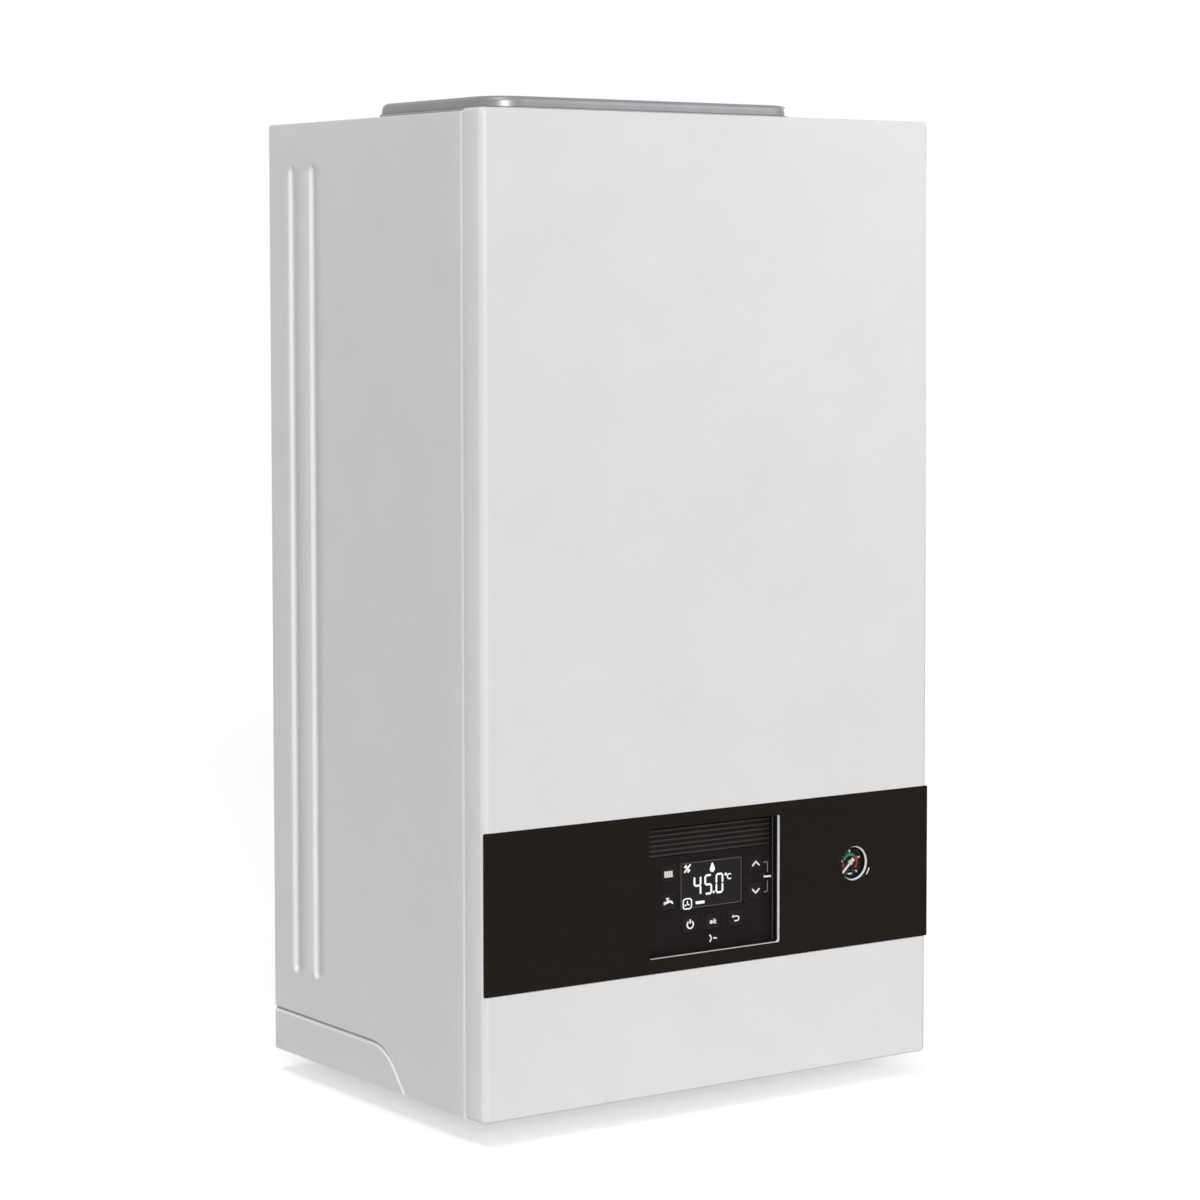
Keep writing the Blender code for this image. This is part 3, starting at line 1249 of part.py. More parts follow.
# Heat cell: a drum with a flue collar and hanging arm on top, ports below and the coil inside
def build_heat_cell():
    centre = (CELL_X, CELL_Z)
    flange_rear = CELL_FRONT_Y + CELL_FLANGE_DEPTH
    flange_radius = CELL_RADIUS + CELL_FLANGE
    profile = [
        (0, CELL_FRONT_Y),
        (flange_radius, CELL_FRONT_Y),
        (flange_radius, flange_rear),
        (CELL_RADIUS, flange_rear),
        (CELL_RADIUS, CELL_REAR_Y),
        (0, CELL_REAR_Y),
    ]
    cell = turned("heat_cell", profile, "Y", centre, BIG_STEPS)
    collar_top = SIDE_TOP - COLLAR_TOP_DROP
    flue = (0, TRAY_CENTRE_Y)
    collar = rod("flue_collar", COLLAR_RADIUS, "Z", flue, CELL_Z, collar_top, BIG_STEPS)
    arm = box(
        "hanging_arm",
        (-ARM_HALF_WIDTH, ARM_HALF_WIDTH),
        (TRAY_CENTRE_Y, FRAME_FRONT_Y - SEAT_GAP),
        (collar_top - COLLAR_LIP - ARM_THICKNESS, collar_top - COLLAR_LIP),
    )
    vent_place = (CELL_X - VENT_OFFSET, PIPE_Y)
    vent_seat = CELL_Z + CELL_RADIUS - VENT_BOSS_DEPTH
    vent_boss = rod("vent_boss", VENT_BOSS_RADIUS, "Z", vent_place, CELL_Z, vent_seat)
    flow_port = rod("flow_port", PORT_RADIUS, "Z", (CELL_X - PORT_OFFSET, PIPE_Y), PORT_BOTTOM, CELL_Z)
    return_port = rod("return_port", PORT_RADIUS, "Z", (CELL_X + PORT_OFFSET, PIPE_Y), PORT_BOTTOM, CELL_Z)
    drain = rod("drain_boss", DRAIN_RADIUS, "Z", (TRAP_X, TRAP_Y), DRAIN_BOTTOM, CELL_Z)
    join(cell, collar, arm, vent_boss, flow_port, return_port, drain)
    bore_radius = CELL_RADIUS - CELL_WALL
    hollow = rod(
        "cell_hollow",
        bore_radius,
        "Y",
        centre,
        CELL_FRONT_Y - OVERRUN,
        CELL_REAR_Y - CELL_WALL,
        HOLLOW_STEPS,
    )
    seat = FLUE_RADIUS - SEAT_GAP
    seat_low = collar_top - COLLAR_BORE_DEPTH
    flue_profile = [
        (0, CELL_Z + CELL_WALL),
        (EXHAUST_RADIUS, CELL_Z + CELL_WALL),
        (EXHAUST_RADIUS, seat_low),
        (seat, seat_low),
        (seat, collar_top + OVERRUN),
        (0, collar_top + OVERRUN),
    ]
    cut(cell, hollow, turned("flue_way", flue_profile, "Z", flue, BIG_STEPS))
    finish(cell, (0.62, 0.63, 0.64), 0.5, 0.3)

    vent_low = vent_seat + SEAT_GAP
    vent_profile = [
        (0, vent_low),
        (VENT_RADIUS, vent_low),
        (VENT_RADIUS, vent_low + VENT_HEIGHT),
        (VENT_CAP_RADIUS, vent_low + VENT_HEIGHT),
        (VENT_CAP_RADIUS, vent_low + VENT_HEIGHT + VENT_CAP_HEIGHT),
        (0, vent_low + VENT_HEIGHT + VENT_CAP_HEIGHT),
    ]
    finish(turned("air_vent", vent_profile, "Z", vent_place), BRASS, 0.35, 0.9)

    coil_radius = bore_radius - COIL_CLEARANCE - COIL_TUBE
    start = CELL_FRONT_Y + COIL_END + COIL_TUBE
    room = CELL_REAR_Y - CELL_WALL - COIL_END - COIL_TUBE - start
    turns = math.floor(room / COIL_PITCH)
    route = []
    for step in range(turns * COIL_STEPS + 1):
        angle = 2 * math.pi * step / COIL_STEPS
        across, up = coil_radius * math.cos(angle), coil_radius * math.sin(angle)
        route.append((CELL_X + across, start + COIL_PITCH * step / COIL_STEPS, CELL_Z + up))
    finish(swept("heat_coil", route, COIL_TUBE, COIL_SIDES), STEEL, 0.3, 0.9)


# Burner door with the burner tube behind it and the ignition electrode through it
def build_burner():
    centre = (CELL_X, CELL_Z)
    radius = CELL_RADIUS + CELL_FLANGE
    profile = [
        (DOOR_BORE, DOOR_REAR_Y),
        (radius, DOOR_REAR_Y),
        (radius, DOOR_FRONT_Y),
        (DOOR_DOME_RADIUS, DOOR_FRONT_Y),
        (DOOR_DOME_RADIUS - DOOR_DOME, DOOR_DOME_Y),
        (DOOR_BORE, DOOR_DOME_Y),
    ]
    door = turned("burner_door", profile, "Y", centre, BIG_STEPS)
    place = (CELL_X - ELECTRODE_OFFSET, CELL_Z + ELECTRODE_OFFSET)
    hole_radius = ELECTRODE_RADIUS + SEAT_GAP
    low, high = DOOR_DOME_Y - OVERRUN, DOOR_REAR_Y + OVERRUN
    cut(door, rod("electrode_hole", hole_radius, "Y", place, low, high, SMALL_STEPS))
    finish(door, (0.66, 0.67, 0.68), 0.45, 0.9)

    inner = BURNER_RADIUS - BURNER_WALL
    front = DOOR_REAR_Y + SEAT_GAP
    flange_rear = front + BURNER_FLANGE_THICKNESS
    end = CELL_REAR_Y - CELL_WALL - BURNER_END
    burner_profile = [
        (0, end),
        (BURNER_RADIUS, end),
        (BURNER_RADIUS, flange_rear),
        (BURNER_RADIUS + BURNER_FLANGE, flange_rear),
        (BURNER_RADIUS + BURNER_FLANGE, front),
        (inner, front),
        (inner, end - BURNER_WALL),
        (0, end - BURNER_WALL),
    ]
    finish(turned("burner", burner_profile, "Y", centre), STEEL, 0.35, 0.9)

    electrode_front = DOOR_FRONT_Y - ELECTRODE_FRONT
    body_end = electrode_front + ELECTRODE_BODY
    electrode_profile = [
        (0, electrode_front),
        (ELECTRODE_RADIUS, electrode_front),
        (ELECTRODE_RADIUS, body_end),
        (ELECTRODE_PIN_RADIUS, body_end),
        (ELECTRODE_PIN_RADIUS, body_end + ELECTRODE_PIN),
        (0, body_end + ELECTRODE_PIN),
    ]
    electrode = turned("ignition_electrode", electrode_profile, "Y", place, SMALL_STEPS)
    finish(electrode, (0.88, 0.86, 0.82), 0.3)


# Fan: a scroll housing with a tangential neck, an impeller, and a flat motor in front
def build_fan():
    centre = (FAN_X, FAN_Z)
    housing = rod("fan_housing", FAN_RADIUS, "Y", centre, FAN_FRONT_Y, FAN_REAR_Y, BIG_STEPS)
    neck_z = FAN_Z + FAN_RADIUS - FAN_NECK_HALF - FAN_WALL
    neck_end = FAN_X - FAN_NECK_END
    neck = box(
        "fan_neck",
        (neck_end, FAN_X + FAN_NECK_HALF / 2),
        (FAN_FRONT_Y + SHEET, FAN_REAR_Y - SHEET),
        (neck_z - FAN_NECK_HALF - FAN_WALL / 2, neck_z + FAN_NECK_HALF + FAN_WALL / 2),
    )
    join(housing, neck)
    bore = FAN_RADIUS - FAN_WALL
    room_front, room_rear = FAN_FRONT_Y + FAN_WALL, FAN_REAR_Y - FAN_WALL
    room = rod("fan_room", bore, "Y", centre, room_front, room_rear, BIG_STEPS)
    passage_half = FAN_NECK_HALF - FAN_WALL / 2
    passage = box(
        "fan_passage",
        (neck_end - OVERRUN, FAN_X + FAN_NECK_HALF / 2),
        (room_front + SHEET, room_rear - SHEET),
        (neck_z - passage_half, neck_z + passage_half),
    )
    inlet = rod("fan_inlet", FAN_INLET_RADIUS, "Y", centre, room_rear - OVERRUN, FAN_REAR_Y + OVERRUN)
    shaft_hole = SHAFT_RADIUS + SEAT_GAP
    shaft_room = rod(
        "fan_shaft_room", shaft_hole, "Y", centre, FAN_FRONT_Y - OVERRUN, room_front + OVERRUN, SMALL_STEPS
    )
    cut(housing, room, passage, inlet, shaft_room)
    finish(housing, (0.60, 0.61, 0.62), 0.5, 0.7)

    impeller_radius = bore - IMPELLER_CLEARANCE
    plate_front = room_front + OVERRUN
    plate_rear = plate_front + IMPELLER_PLATE
    impeller_profile = [
        (0, plate_front - SHAFT_REACH),
        (SHAFT_RADIUS, plate_front - SHAFT_REACH),
        (SHAFT_RADIUS, plate_front),
        (impeller_radius, plate_front),
        (impeller_radius, plate_rear),
        (IMPELLER_HUB, plate_rear),
        (IMPELLER_HUB, plate_front + IMPELLER_DEPTH),
        (0, plate_front + IMPELLER_DEPTH),
    ]
    impeller = turned("fan_impeller", impeller_profile, "Y", centre)
    for number in range(IMPELLER_BLADES):
        blade = box(
            f"fan_blade_{number}",
            (IMPELLER_HUB - BLADE_THICKNESS, impeller_radius - BLADE_THICKNESS),
            (plate_rear - WELD_DEPTH, plate_front + IMPELLER_DEPTH - WELD_DEPTH),
            (-BLADE_THICKNESS / 2, BLADE_THICKNESS / 2),
        )
        angle = 2 * math.pi * number / IMPELLER_BLADES
        blade.data.transform(Matrix.Rotation(angle, 4, "Y"))
        blade.data.transform(Matrix.Translation((FAN_X, 0, FAN_Z)))
        join(impeller, blade)
    set_pivot(impeller, (FAN_X, plate_front, FAN_Z))
    finish(impeller, GREY_PLASTIC, 0.5)

    motor_rear = MOTOR_FRONT_Y + FAN_MOTOR_DEPTH
    hub_front = MOTOR_FRONT_Y - OVERRUN
    motor_profile = [
        (0, hub_front),
        (FAN_MOTOR_HUB, hub_front),
        (FAN_MOTOR_HUB, MOTOR_FRONT_Y),
        (FAN_MOTOR_RADIUS - FAN_WALL, MOTOR_FRONT_Y),
        (FAN_MOTOR_RADIUS, MOTOR_FRONT_Y + FAN_WALL),
        (FAN_MOTOR_RADIUS, motor_rear),
        (0, motor_rear),
    ]
    motor = turned("fan_motor", motor_profile, "Y", centre)
    bore_end = plate_front - SHAFT_REACH - SEAT_GAP
    cut(motor, rod("fan_motor_bore", shaft_hole, "Y", centre, bore_end, motor_rear + OVERRUN, SMALL_STEPS))
    finish(motor, (0.06, 0.06, 0.06), 0.45)

    duct_z = neck_z
    corners = [
        (neck_end - SEAT_GAP, DUCT_Y, duct_z),
        (CELL_X, DUCT_Y, duct_z),
        (CELL_X, DUCT_Y, CELL_Z),
        (CELL_X, DOOR_DOME_Y - SEAT_GAP, CELL_Z),
    ]
    duct = swept("mixture_duct", rounded_route(corners, DUCT_BEND), DUCT_RADIUS, DUCT_SIDES)
    finish(duct, (0.60, 0.61, 0.62), 0.5, 0.7)


# Gas and air mixer on the fan's inlet, and the gas valve below it
def build_gas_side():
    centre = (FAN_X, FAN_Z)
    front = FAN_REAR_Y + SEAT_GAP
    rear = front + MIXER_LENGTH
    middle = (front + rear) / 2
    profile = [
        (MIXER_MOUTH, front),
        (MIXER_RADIUS, front),
        (MIXER_RADIUS, front + MIXER_FLANGE),
        (MIXER_NECK_RADIUS, front + MIXER_FLANGE),
        (MIXER_NECK_RADIUS, rear - MIXER_FLANGE),
        (MIXER_RADIUS, rear - MIXER_FLANGE),
        (MIXER_RADIUS, rear),
        (MIXER_MOUTH, rear),
        (MIXER_THROAT, middle),
    ]
    mixer = turned("gas_mixer", profile, "Y", centre)
    stub_place = (FAN_X, MIXER_STUB_Y)
    stub_low = VALVE_TOP + SEAT_GAP
    wall_middle = FAN_Z - (MIXER_NECK_RADIUS + MIXER_MOUTH) / 2
    stub = rod("mixer_stub", MIXER_STUB_RADIUS, "Z", stub_place, stub_low, wall_middle, SMALL_STEPS)
    join(mixer, stub)
    finish(mixer, (0.05, 0.05, 0.05), 0.5)

    bottom = VALVE_TOP - VALVE_HEIGHT
    valve = box(
        "gas_valve",
        (FAN_X - VALVE_WIDTH / 2, FAN_X + VALVE_WIDTH / 2),
        (MIXER_STUB_Y - VALVE_DEPTH / 2, MIXER_STUB_Y + VALVE_DEPTH / 2),
        (bottom, VALVE_TOP),
    )
    coil_front = MIXER_STUB_Y - VALVE_DEPTH / 2 - VALVE_COIL_LENGTH
    for side in (-1, 1):
        place = (FAN_X, VALVE_TOP - VALVE_HEIGHT / 2 + side * VALVE_COIL_RADIUS)
        coil_radius = VALVE_COIL_RADIUS - SHEET
        coil = rod(f"valve_coil_{side}", coil_radius, "Y", place, coil_front, MIXER_STUB_Y)
        join(valve, coil)
    finish(valve, (0.70, 0.71, 0.72), 0.45, 0.8)

    rise = bottom - BASE_TOP
    low_bend, high_bend = BASE_TOP + rise * GAS_LOWER_SHARE, BASE_TOP + rise * GAS_UPPER_SHARE
    corners = [
        (0, UNION_Y, -UNION_REACH),
        (0, UNION_Y, low_bend),
        (FAN_X, MIXER_STUB_Y, high_bend),
        (FAN_X, MIXER_STUB_Y, bottom - SEAT_GAP),
    ]
    pipe = swept("gas_pipe", rounded_route(corners, PIPE_BEND), GAS_PIPE_RADIUS)
    join(pipe, union_shape("gas", 0))
    cut(pipe, union_bore("gas", 0))
    finish(pipe, (0.75, 0.62, 0.15), 0.4)


def union_shape(name, place):
    """A threaded pipe end with its nut and the flange that clamps it in the base tray."""
    seat = BASE_TOP + SEAT_GAP
    nut_top = seat + UNION_FLANGE + UNION_NUT
    profile = [
        (0, -UNION_REACH),
        (UNION_RADIUS, -UNION_REACH),
        (UNION_RADIUS, seat),
        (UNION_FLANGE_RADIUS, seat),
        (UNION_FLANGE_RADIUS, seat + UNION_FLANGE),
        (UNION_NUT_RADIUS, seat + UNION_FLANGE),
        (UNION_NUT_RADIUS, nut_top),
        (UNION_RADIUS, nut_top),
        (UNION_RADIUS, BLOCK_BOTTOM + UNION_INSET),
        (0, BLOCK_BOTTOM + UNION_INSET),
    ]
    return turned(name + "_union", profile, "Z", (place, UNION_Y))


def union_bore(name, place):
    """The open bore of a pipe end."""
    low, high = -UNION_REACH - OVERRUN, -UNION_REACH + UNION_BORE_DEPTH
    return rod(name + "_bore", UNION_BORE, "Z", (place, UNION_Y), low, high, SMALL_STEPS)


def knob_boss(name, place):
    """The round neck on a block's front face that a knob turns on, and the bore for the knob's pin."""
    front = BLOCK_FRONT_Y - KNOB_BOSS
    seat = (BLOCK_FRONT_Y + BLOCK_REAR_Y) / 2
    boss = rod(name + "_boss", KNOB_BOSS_RADIUS, "Y", place, front, seat, SMALL_STEPS)
    hole_radius = KNOB_PIN_RADIUS + SEAT_GAP
    low, high = front - OVERRUN, front + KNOB_PIN + SEAT_GAP
    hole = rod(name + "_boss_hole", hole_radius, "Y", place, low, high, SMALL_STEPS)
    return boss, hole


def turning_knob(name, place, colour):
    """A knob with finger notches and a pin into its boss."""
    rear = BLOCK_FRONT_Y - KNOB_BOSS - SEAT_GAP
    front = rear - KNOB_DEPTH
    profile = [
        (0, front),
        (KNOB_RADIUS - SHEET, front),
        (KNOB_RADIUS, front + SHEET),
        (KNOB_RADIUS, rear),
        (KNOB_PIN_RADIUS, rear),
        (KNOB_PIN_RADIUS, rear + KNOB_PIN),
        (0, rear + KNOB_PIN),
    ]
    knob = turned(name, profile, "Y", place)
    for number in range(KNOB_NOTCHES):
        angle = 2 * math.pi * (number + 1 / 4) / KNOB_NOTCHES
        reach = KNOB_RADIUS + KNOB_NOTCH_RADIUS / 2
        centre = (place[0] + reach * math.cos(angle), place[1] + reach * math.sin(angle))
        low, high = front - OVERRUN, rear + OVERRUN
        notch = rod(f"{name}_notch_{number}", KNOB_NOTCH_RADIUS, "Y", centre, low, high, NOTCH_STEPS)
        cut(knob, notch)
    set_pivot(knob, (place[0], rear, place[1]))
    finish(knob, colour, 0.4)
    return knob


# Hydraulic blocks on both sides, the plate heat exchanger behind them, and the two knobs in front
def build_blocks():
    bottom, top = BLOCK_BOTTOM, BLOCK_TOP
    size = (BLOCK_OUTER_X - BLOCK_INNER_X, BLOCK_REAR_Y - BLOCK_FRONT_Y)
    centre_x = (BLOCK_OUTER_X + BLOCK_INNER_X) / 2
    places = union_places()
    sides = [
        ("flow_block", -1, ("flow", places[0]), ("hot_water", places[1]), (SAFETY_X, SAFETY_Z)),
        ("return_block", 1, ("cold_water", places[3]), ("return", places[4]), (FILLING_X, FILLING_Z)),
    ]
    for name, side, first, second, knob_place in sides:
        outline = rounded_rectangle((side * centre_x, UNION_Y), size, BLOCK_EDGE, 2)
        block = prism(name, outline, "Z", bottom, top)
        boss, hole = knob_boss(name, knob_place)
        join(block, union_shape(*first), union_shape(*second), boss)
        cut(block, union_bore(*first), union_bore(*second), hole)
        if side < 0:
            stem_low = top - STEM_BELOW - STEM_STROKE - SEAT_GAP
            stem_hole = STEM_RADIUS + SEAT_GAP
            place = (DIVERTER_X, UNION_Y)
            cut(block, rod("stem_room", stem_hole, "Z", place, stem_low, top + OVERRUN, SMALL_STEPS))
        finish(block, BRASS if side < 0 else (0.10, 0.10, 0.11), 0.4, 0.9 if side < 0 else 0.0)

    rear = BLOCK_REAR_Y + SEAT_GAP
    half = EXCHANGER_WIDTH / 2
    top = EXCHANGER_BOTTOM + EXCHANGER_HEIGHT
    pitch = EXCHANGER_DEPTH / EXCHANGER_PLATES
    lower, upper = [], []
    for plate in range(EXCHANGER_PLATES):
        start = rear + plate * pitch
        groove = start + pitch * (1 - EXCHANGER_GROOVE_SHARE)
        end = start + pitch
        sunk_low, sunk_high = EXCHANGER_BOTTOM + EXCHANGER_GROOVE, top - EXCHANGER_GROOVE
        lower += [(start, EXCHANGER_BOTTOM), (groove, EXCHANGER_BOTTOM)]
        upper += [(start, top), (groove, top)]
        if plate < EXCHANGER_PLATES - 1:
            lower += [(groove, sunk_low), (end, sunk_low)]
            upper += [(groove, sunk_high), (end, sunk_high)]
    exchanger = prism("plate_exchanger", lower + upper[::-1], "X", -half, half)
    finish(exchanger, STEEL, 0.35, 0.9)

    turning_knob("safety_valve_knob", (SAFETY_X, SAFETY_Z), RED)
    tap = turning_knob("filling_tap_knob", (FILLING_X, FILLING_Z), (0.02, 0.05, 0.30))
    knob_front = BLOCK_FRONT_Y - KNOB_BOSS - SEAT_GAP - KNOB_DEPTH
    handle = box(
        "filling_handle",
        (FILLING_X - HANDLE_LENGTH / 2, FILLING_X + HANDLE_LENGTH / 2),
        (knob_front - HANDLE_DEPTH, knob_front + SHEET),
        (FILLING_Z - HANDLE_HALF_WIDTH, FILLING_Z + HANDLE_HALF_WIDTH),
    )
    join(tap, handle)


# Diverter valve: a motor on two legs that moves a stem in the flow block
def build_diverter():
    seat = BLOCK_TOP + SEAT_GAP
    bottom = seat + DIVERTER_LEG
    outline = rounded_rectangle(
        (DIVERTER_X, UNION_Y), (DIVERTER_HALF * 2, DIVERTER_HALF * 2), BLOCK_EDGE, 2
    )
    motor = prism("diverter_motor", outline, "Z", bottom, bottom + DIVERTER_HEIGHT)
    for side in (-1, 1):
        place = DIVERTER_X + side * DIVERTER_LEG_OFFSET
        leg = box(
            f"diverter_leg_{side}",
            (place - DIVERTER_LEG_WIDTH / 2, place + DIVERTER_LEG_WIDTH / 2),
            (UNION_Y - DIVERTER_LEG_OFFSET, UNION_Y + DIVERTER_LEG_OFFSET),
            (seat, bottom + DIVERTER_LEG_INSET),
        )
        join(motor, leg)
    stem_top = bottom + STEM_ABOVE
    hole_radius = STEM_RADIUS + SEAT_GAP
    centre = (DIVERTER_X, UNION_Y)
    bore = rod("diverter_bore", hole_radius, "Z", centre, seat, stem_top + OVERRUN, SMALL_STEPS)
    cut(motor, bore)
    finish(motor, (0.05, 0.05, 0.05), 0.5)
    stem = rod("diverter_stem", STEM_RADIUS, "Z", centre, BLOCK_TOP - STEM_BELOW, stem_top, SMALL_STEPS)
    set_pivot(stem, (DIVERTER_X, UNION_Y, BLOCK_TOP))
    finish(stem, STEEL, 0.25, 1.0)


# Pump: a volute on the return block with an impeller inside and a wet-rotor motor in front
def build_pump():
    centre = (PUMP_X, PUMP_Z)
    front, rear = PUMP_Y - PUMP_FRONT_DEPTH, PUMP_Y + PUMP_REAR_DEPTH
    volute = rod("pump_housing", PUMP_RADIUS, "Y", centre, front, rear, BIG_STEPS)
    neck_low, neck_high = BLOCK_TOP + SEAT_GAP, PUMP_Z + PUMP_NECK_RISE
    neck = rod("pump_neck", PUMP_NECK_RADIUS, "Z", (PUMP_X, PUMP_Y), neck_low, neck_high)
    join(volute, neck)
    room_rear = front + PUMP_CAVITY_DEPTH
    room = rod("pump_room", PUMP_CAVITY_RADIUS, "Y", centre, front - OVERRUN, room_rear)
    cut(volute, room)
    finish(volute, (0.10, 0.10, 0.11), 0.45)

    impeller_front = front + PUMP_IMPELLER_SETBACK
    impeller_profile = [
        (0, front - SHAFT_REACH),
        (SHAFT_RADIUS, front - SHAFT_REACH),
        (SHAFT_RADIUS, impeller_front),
        (PUMP_IMPELLER_RADIUS, impeller_front),
        (PUMP_IMPELLER_RADIUS, impeller_front + IMPELLER_PLATE),
        (IMPELLER_HUB, impeller_front + IMPELLER_PLATE),
        (IMPELLER_HUB, impeller_front + PUMP_IMPELLER_DEPTH),
        (0, impeller_front + PUMP_IMPELLER_DEPTH),
    ]
    impeller = turned("pump_impeller", impeller_profile, "Y", centre)
    set_pivot(impeller, (PUMP_X, impeller_front, PUMP_Z))
    finish(impeller, GREY_PLASTIC, 0.4)

    motor_rear = front - SEAT_GAP
    motor_front = HOUSING_REAR_Y + PUMP_MOTOR_CLEARANCE
    edge = PUMP_MOTOR_RADIUS - PUMP_RADIUS + FAN_WALL
    motor_profile = [
        (0, motor_front),
        (PUMP_MOTOR_RADIUS - edge, motor_front),
        (PUMP_MOTOR_RADIUS, motor_front + edge),
        (PUMP_MOTOR_RADIUS, motor_rear),
        (0, motor_rear),
    ]
    motor = turned("pump_motor", motor_profile, "Y", centre, BIG_STEPS)
    hole_radius = SHAFT_RADIUS + SEAT_GAP
    bore_end = front - SHAFT_REACH - SEAT_GAP
    cut(motor, rod("pump_motor_bore", hole_radius, "Y", centre, bore_end, motor_rear + OVERRUN, SMALL_STEPS))
    finish(motor, (0.30, 0.31, 0.32), 0.4, 0.6)

    low, high = neck_high + SEAT_GAP, PORT_BOTTOM - SEAT_GAP
    port_x = CELL_X + PORT_OFFSET
    rise = high - low
    corners = [
        (PUMP_X, PIPE_Y, low),
        (PUMP_X, PIPE_Y, low + rise * RETURN_LOWER_SHARE),
        (port_x, PIPE_Y, low + rise * UPPER_BEND_SHARE),
        (port_x, PIPE_Y, high),
    ]
    pipe = swept("return_pipe", rounded_route(corners, PIPE_BEND), PIPE_RADIUS)
    finish(pipe, COPPER, 0.3, 1.0)

    low = BLOCK_TOP + SEAT_GAP
    port_x = CELL_X - PORT_OFFSET
    rise = high - low
    corners = [
        (FLOW_PIPE_X, PIPE_Y, low),
        (FLOW_PIPE_X, PIPE_Y, low + rise * LOWER_BEND_SHARE),
        (port_x, PIPE_Y, low + rise * UPPER_BEND_SHARE),
        (port_x, PIPE_Y, high),
    ]
    pipe = swept("flow_pipe", rounded_route(corners, PIPE_BEND), PIPE_RADIUS)
    finish(pipe, COPPER, 0.3, 1.0)


# Condensate trap under the heat cell's drain, and the cable gland in the base tray
def build_trap_and_gland():
    top = TRAP_BOTTOM + TRAP_HEIGHT
    profile = [
        (0, -TRAP_OUTLET_REACH),
        (TRAP_OUTLET, -TRAP_OUTLET_REACH),
        (TRAP_OUTLET, TRAP_BOTTOM - TRAP_EDGE),
        (TRAP_RADIUS - TRAP_EDGE, TRAP_BOTTOM),
        (TRAP_RADIUS, TRAP_BOTTOM + TRAP_EDGE),
        (TRAP_RADIUS, top - TRAP_EDGE),
        (TRAP_RADIUS - TRAP_EDGE, top),
        (TRAP_NECK, top),
        (TRAP_NECK, DRAIN_BOTTOM - SEAT_GAP),
        (0, DRAIN_BOTTOM - SEAT_GAP),
    ]
    trap = turned("condensate_trap", profile, "Z", (TRAP_X, TRAP_Y))
    low, high = -TRAP_OUTLET_REACH - OVERRUN, TRAP_BOTTOM - TRAP_EDGE
    place = (TRAP_X, TRAP_Y)
    cut(trap, rod("trap_bore", TRAP_OUTLET_BORE, "Z", place, low, high, SMALL_STEPS))
    finish(trap, (0.75, 0.76, 0.78), 0.35)

    seat = BASE_TOP + SEAT_GAP
    gland_profile = [
        (GLAND_BORE, -GLAND_REACH),
        (GLAND_RADIUS, -GLAND_REACH),
        (GLAND_RADIUS, seat),
        (GLAND_FLANGE_RADIUS, seat),
        (GLAND_FLANGE_RADIUS, seat + GLAND_FLANGE),
        (GLAND_RADIUS, seat + GLAND_FLANGE),
        (GLAND_RADIUS - SHEET, GLAND_LENGTH - GLAND_REACH),
        (GLAND_BORE, GLAND_LENGTH - GLAND_REACH),
    ]
    gland = turned("cable_gland", gland_profile, "Z", (GLAND_X, GLAND_Y), SMALL_STEPS)
    finish(gland, (0.06, 0.06, 0.06), 0.5)


build_rear_frame()
build_side_panel(-1)
build_side_panel(1)
build_roof()
build_tray()
build_flue_adapter()
build_base_tray()
build_front_cover()
build_control_housing()
build_display_module()
build_gauge()
build_vessel()
build_heat_cell()
build_burner()
build_fan()
build_gas_side()
build_blocks()
build_diverter()
build_pump()
build_trap_and_gland()
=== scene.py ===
"""A wall-hung condensing boiler: the finish of each surface, and the shells, keys and dial in full.

Lengths are metres in the part's own frame: X to the right, Y towards the wall, Z up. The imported
solids give every place, and the pieces made here sit on them.
"""

import math

import bmesh
import bpy
import numpy as np
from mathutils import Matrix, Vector


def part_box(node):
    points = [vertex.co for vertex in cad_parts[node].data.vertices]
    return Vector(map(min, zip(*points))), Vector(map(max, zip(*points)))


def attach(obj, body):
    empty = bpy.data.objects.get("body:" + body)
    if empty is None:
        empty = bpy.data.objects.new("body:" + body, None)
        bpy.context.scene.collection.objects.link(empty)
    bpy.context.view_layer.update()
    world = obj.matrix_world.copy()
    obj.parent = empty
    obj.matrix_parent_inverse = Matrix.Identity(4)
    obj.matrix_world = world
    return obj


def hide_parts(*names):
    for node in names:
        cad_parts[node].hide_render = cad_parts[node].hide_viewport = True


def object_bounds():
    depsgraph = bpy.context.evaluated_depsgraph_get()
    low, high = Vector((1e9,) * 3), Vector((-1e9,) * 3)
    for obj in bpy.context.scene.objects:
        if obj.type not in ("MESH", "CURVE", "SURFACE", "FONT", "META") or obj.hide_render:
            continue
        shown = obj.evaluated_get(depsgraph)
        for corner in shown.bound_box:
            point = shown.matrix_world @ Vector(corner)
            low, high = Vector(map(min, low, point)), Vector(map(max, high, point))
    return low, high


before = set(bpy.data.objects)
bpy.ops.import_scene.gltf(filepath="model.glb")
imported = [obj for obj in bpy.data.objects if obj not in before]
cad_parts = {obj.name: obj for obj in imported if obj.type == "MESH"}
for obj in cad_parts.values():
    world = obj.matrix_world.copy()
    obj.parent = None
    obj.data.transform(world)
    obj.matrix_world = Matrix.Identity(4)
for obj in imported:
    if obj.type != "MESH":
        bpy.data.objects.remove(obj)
packed_box = [list(corner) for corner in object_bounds()]


# Studio
# A wide white floor and an even pale surround. A soft lamp from the left front draws the bent edges, a
# weaker one from above lights the tray, one from the right rear lights the far side, and a soft box on
# the right lets the front fade downwards.
def add(tree, kind, settings, links=None):
    """Adds a node, sets its inputs or properties by name, and links other nodes' outputs to it."""
    node = tree.nodes.new(kind)
    for name, value in settings.items():
        if isinstance(name, int) or name in node.inputs:
            node.inputs[name].default_value = value
        else:
            setattr(node, name, value)
    for name, socket in (links or {}).items():
        tree.links.new(socket, node.inputs[name])
    return node


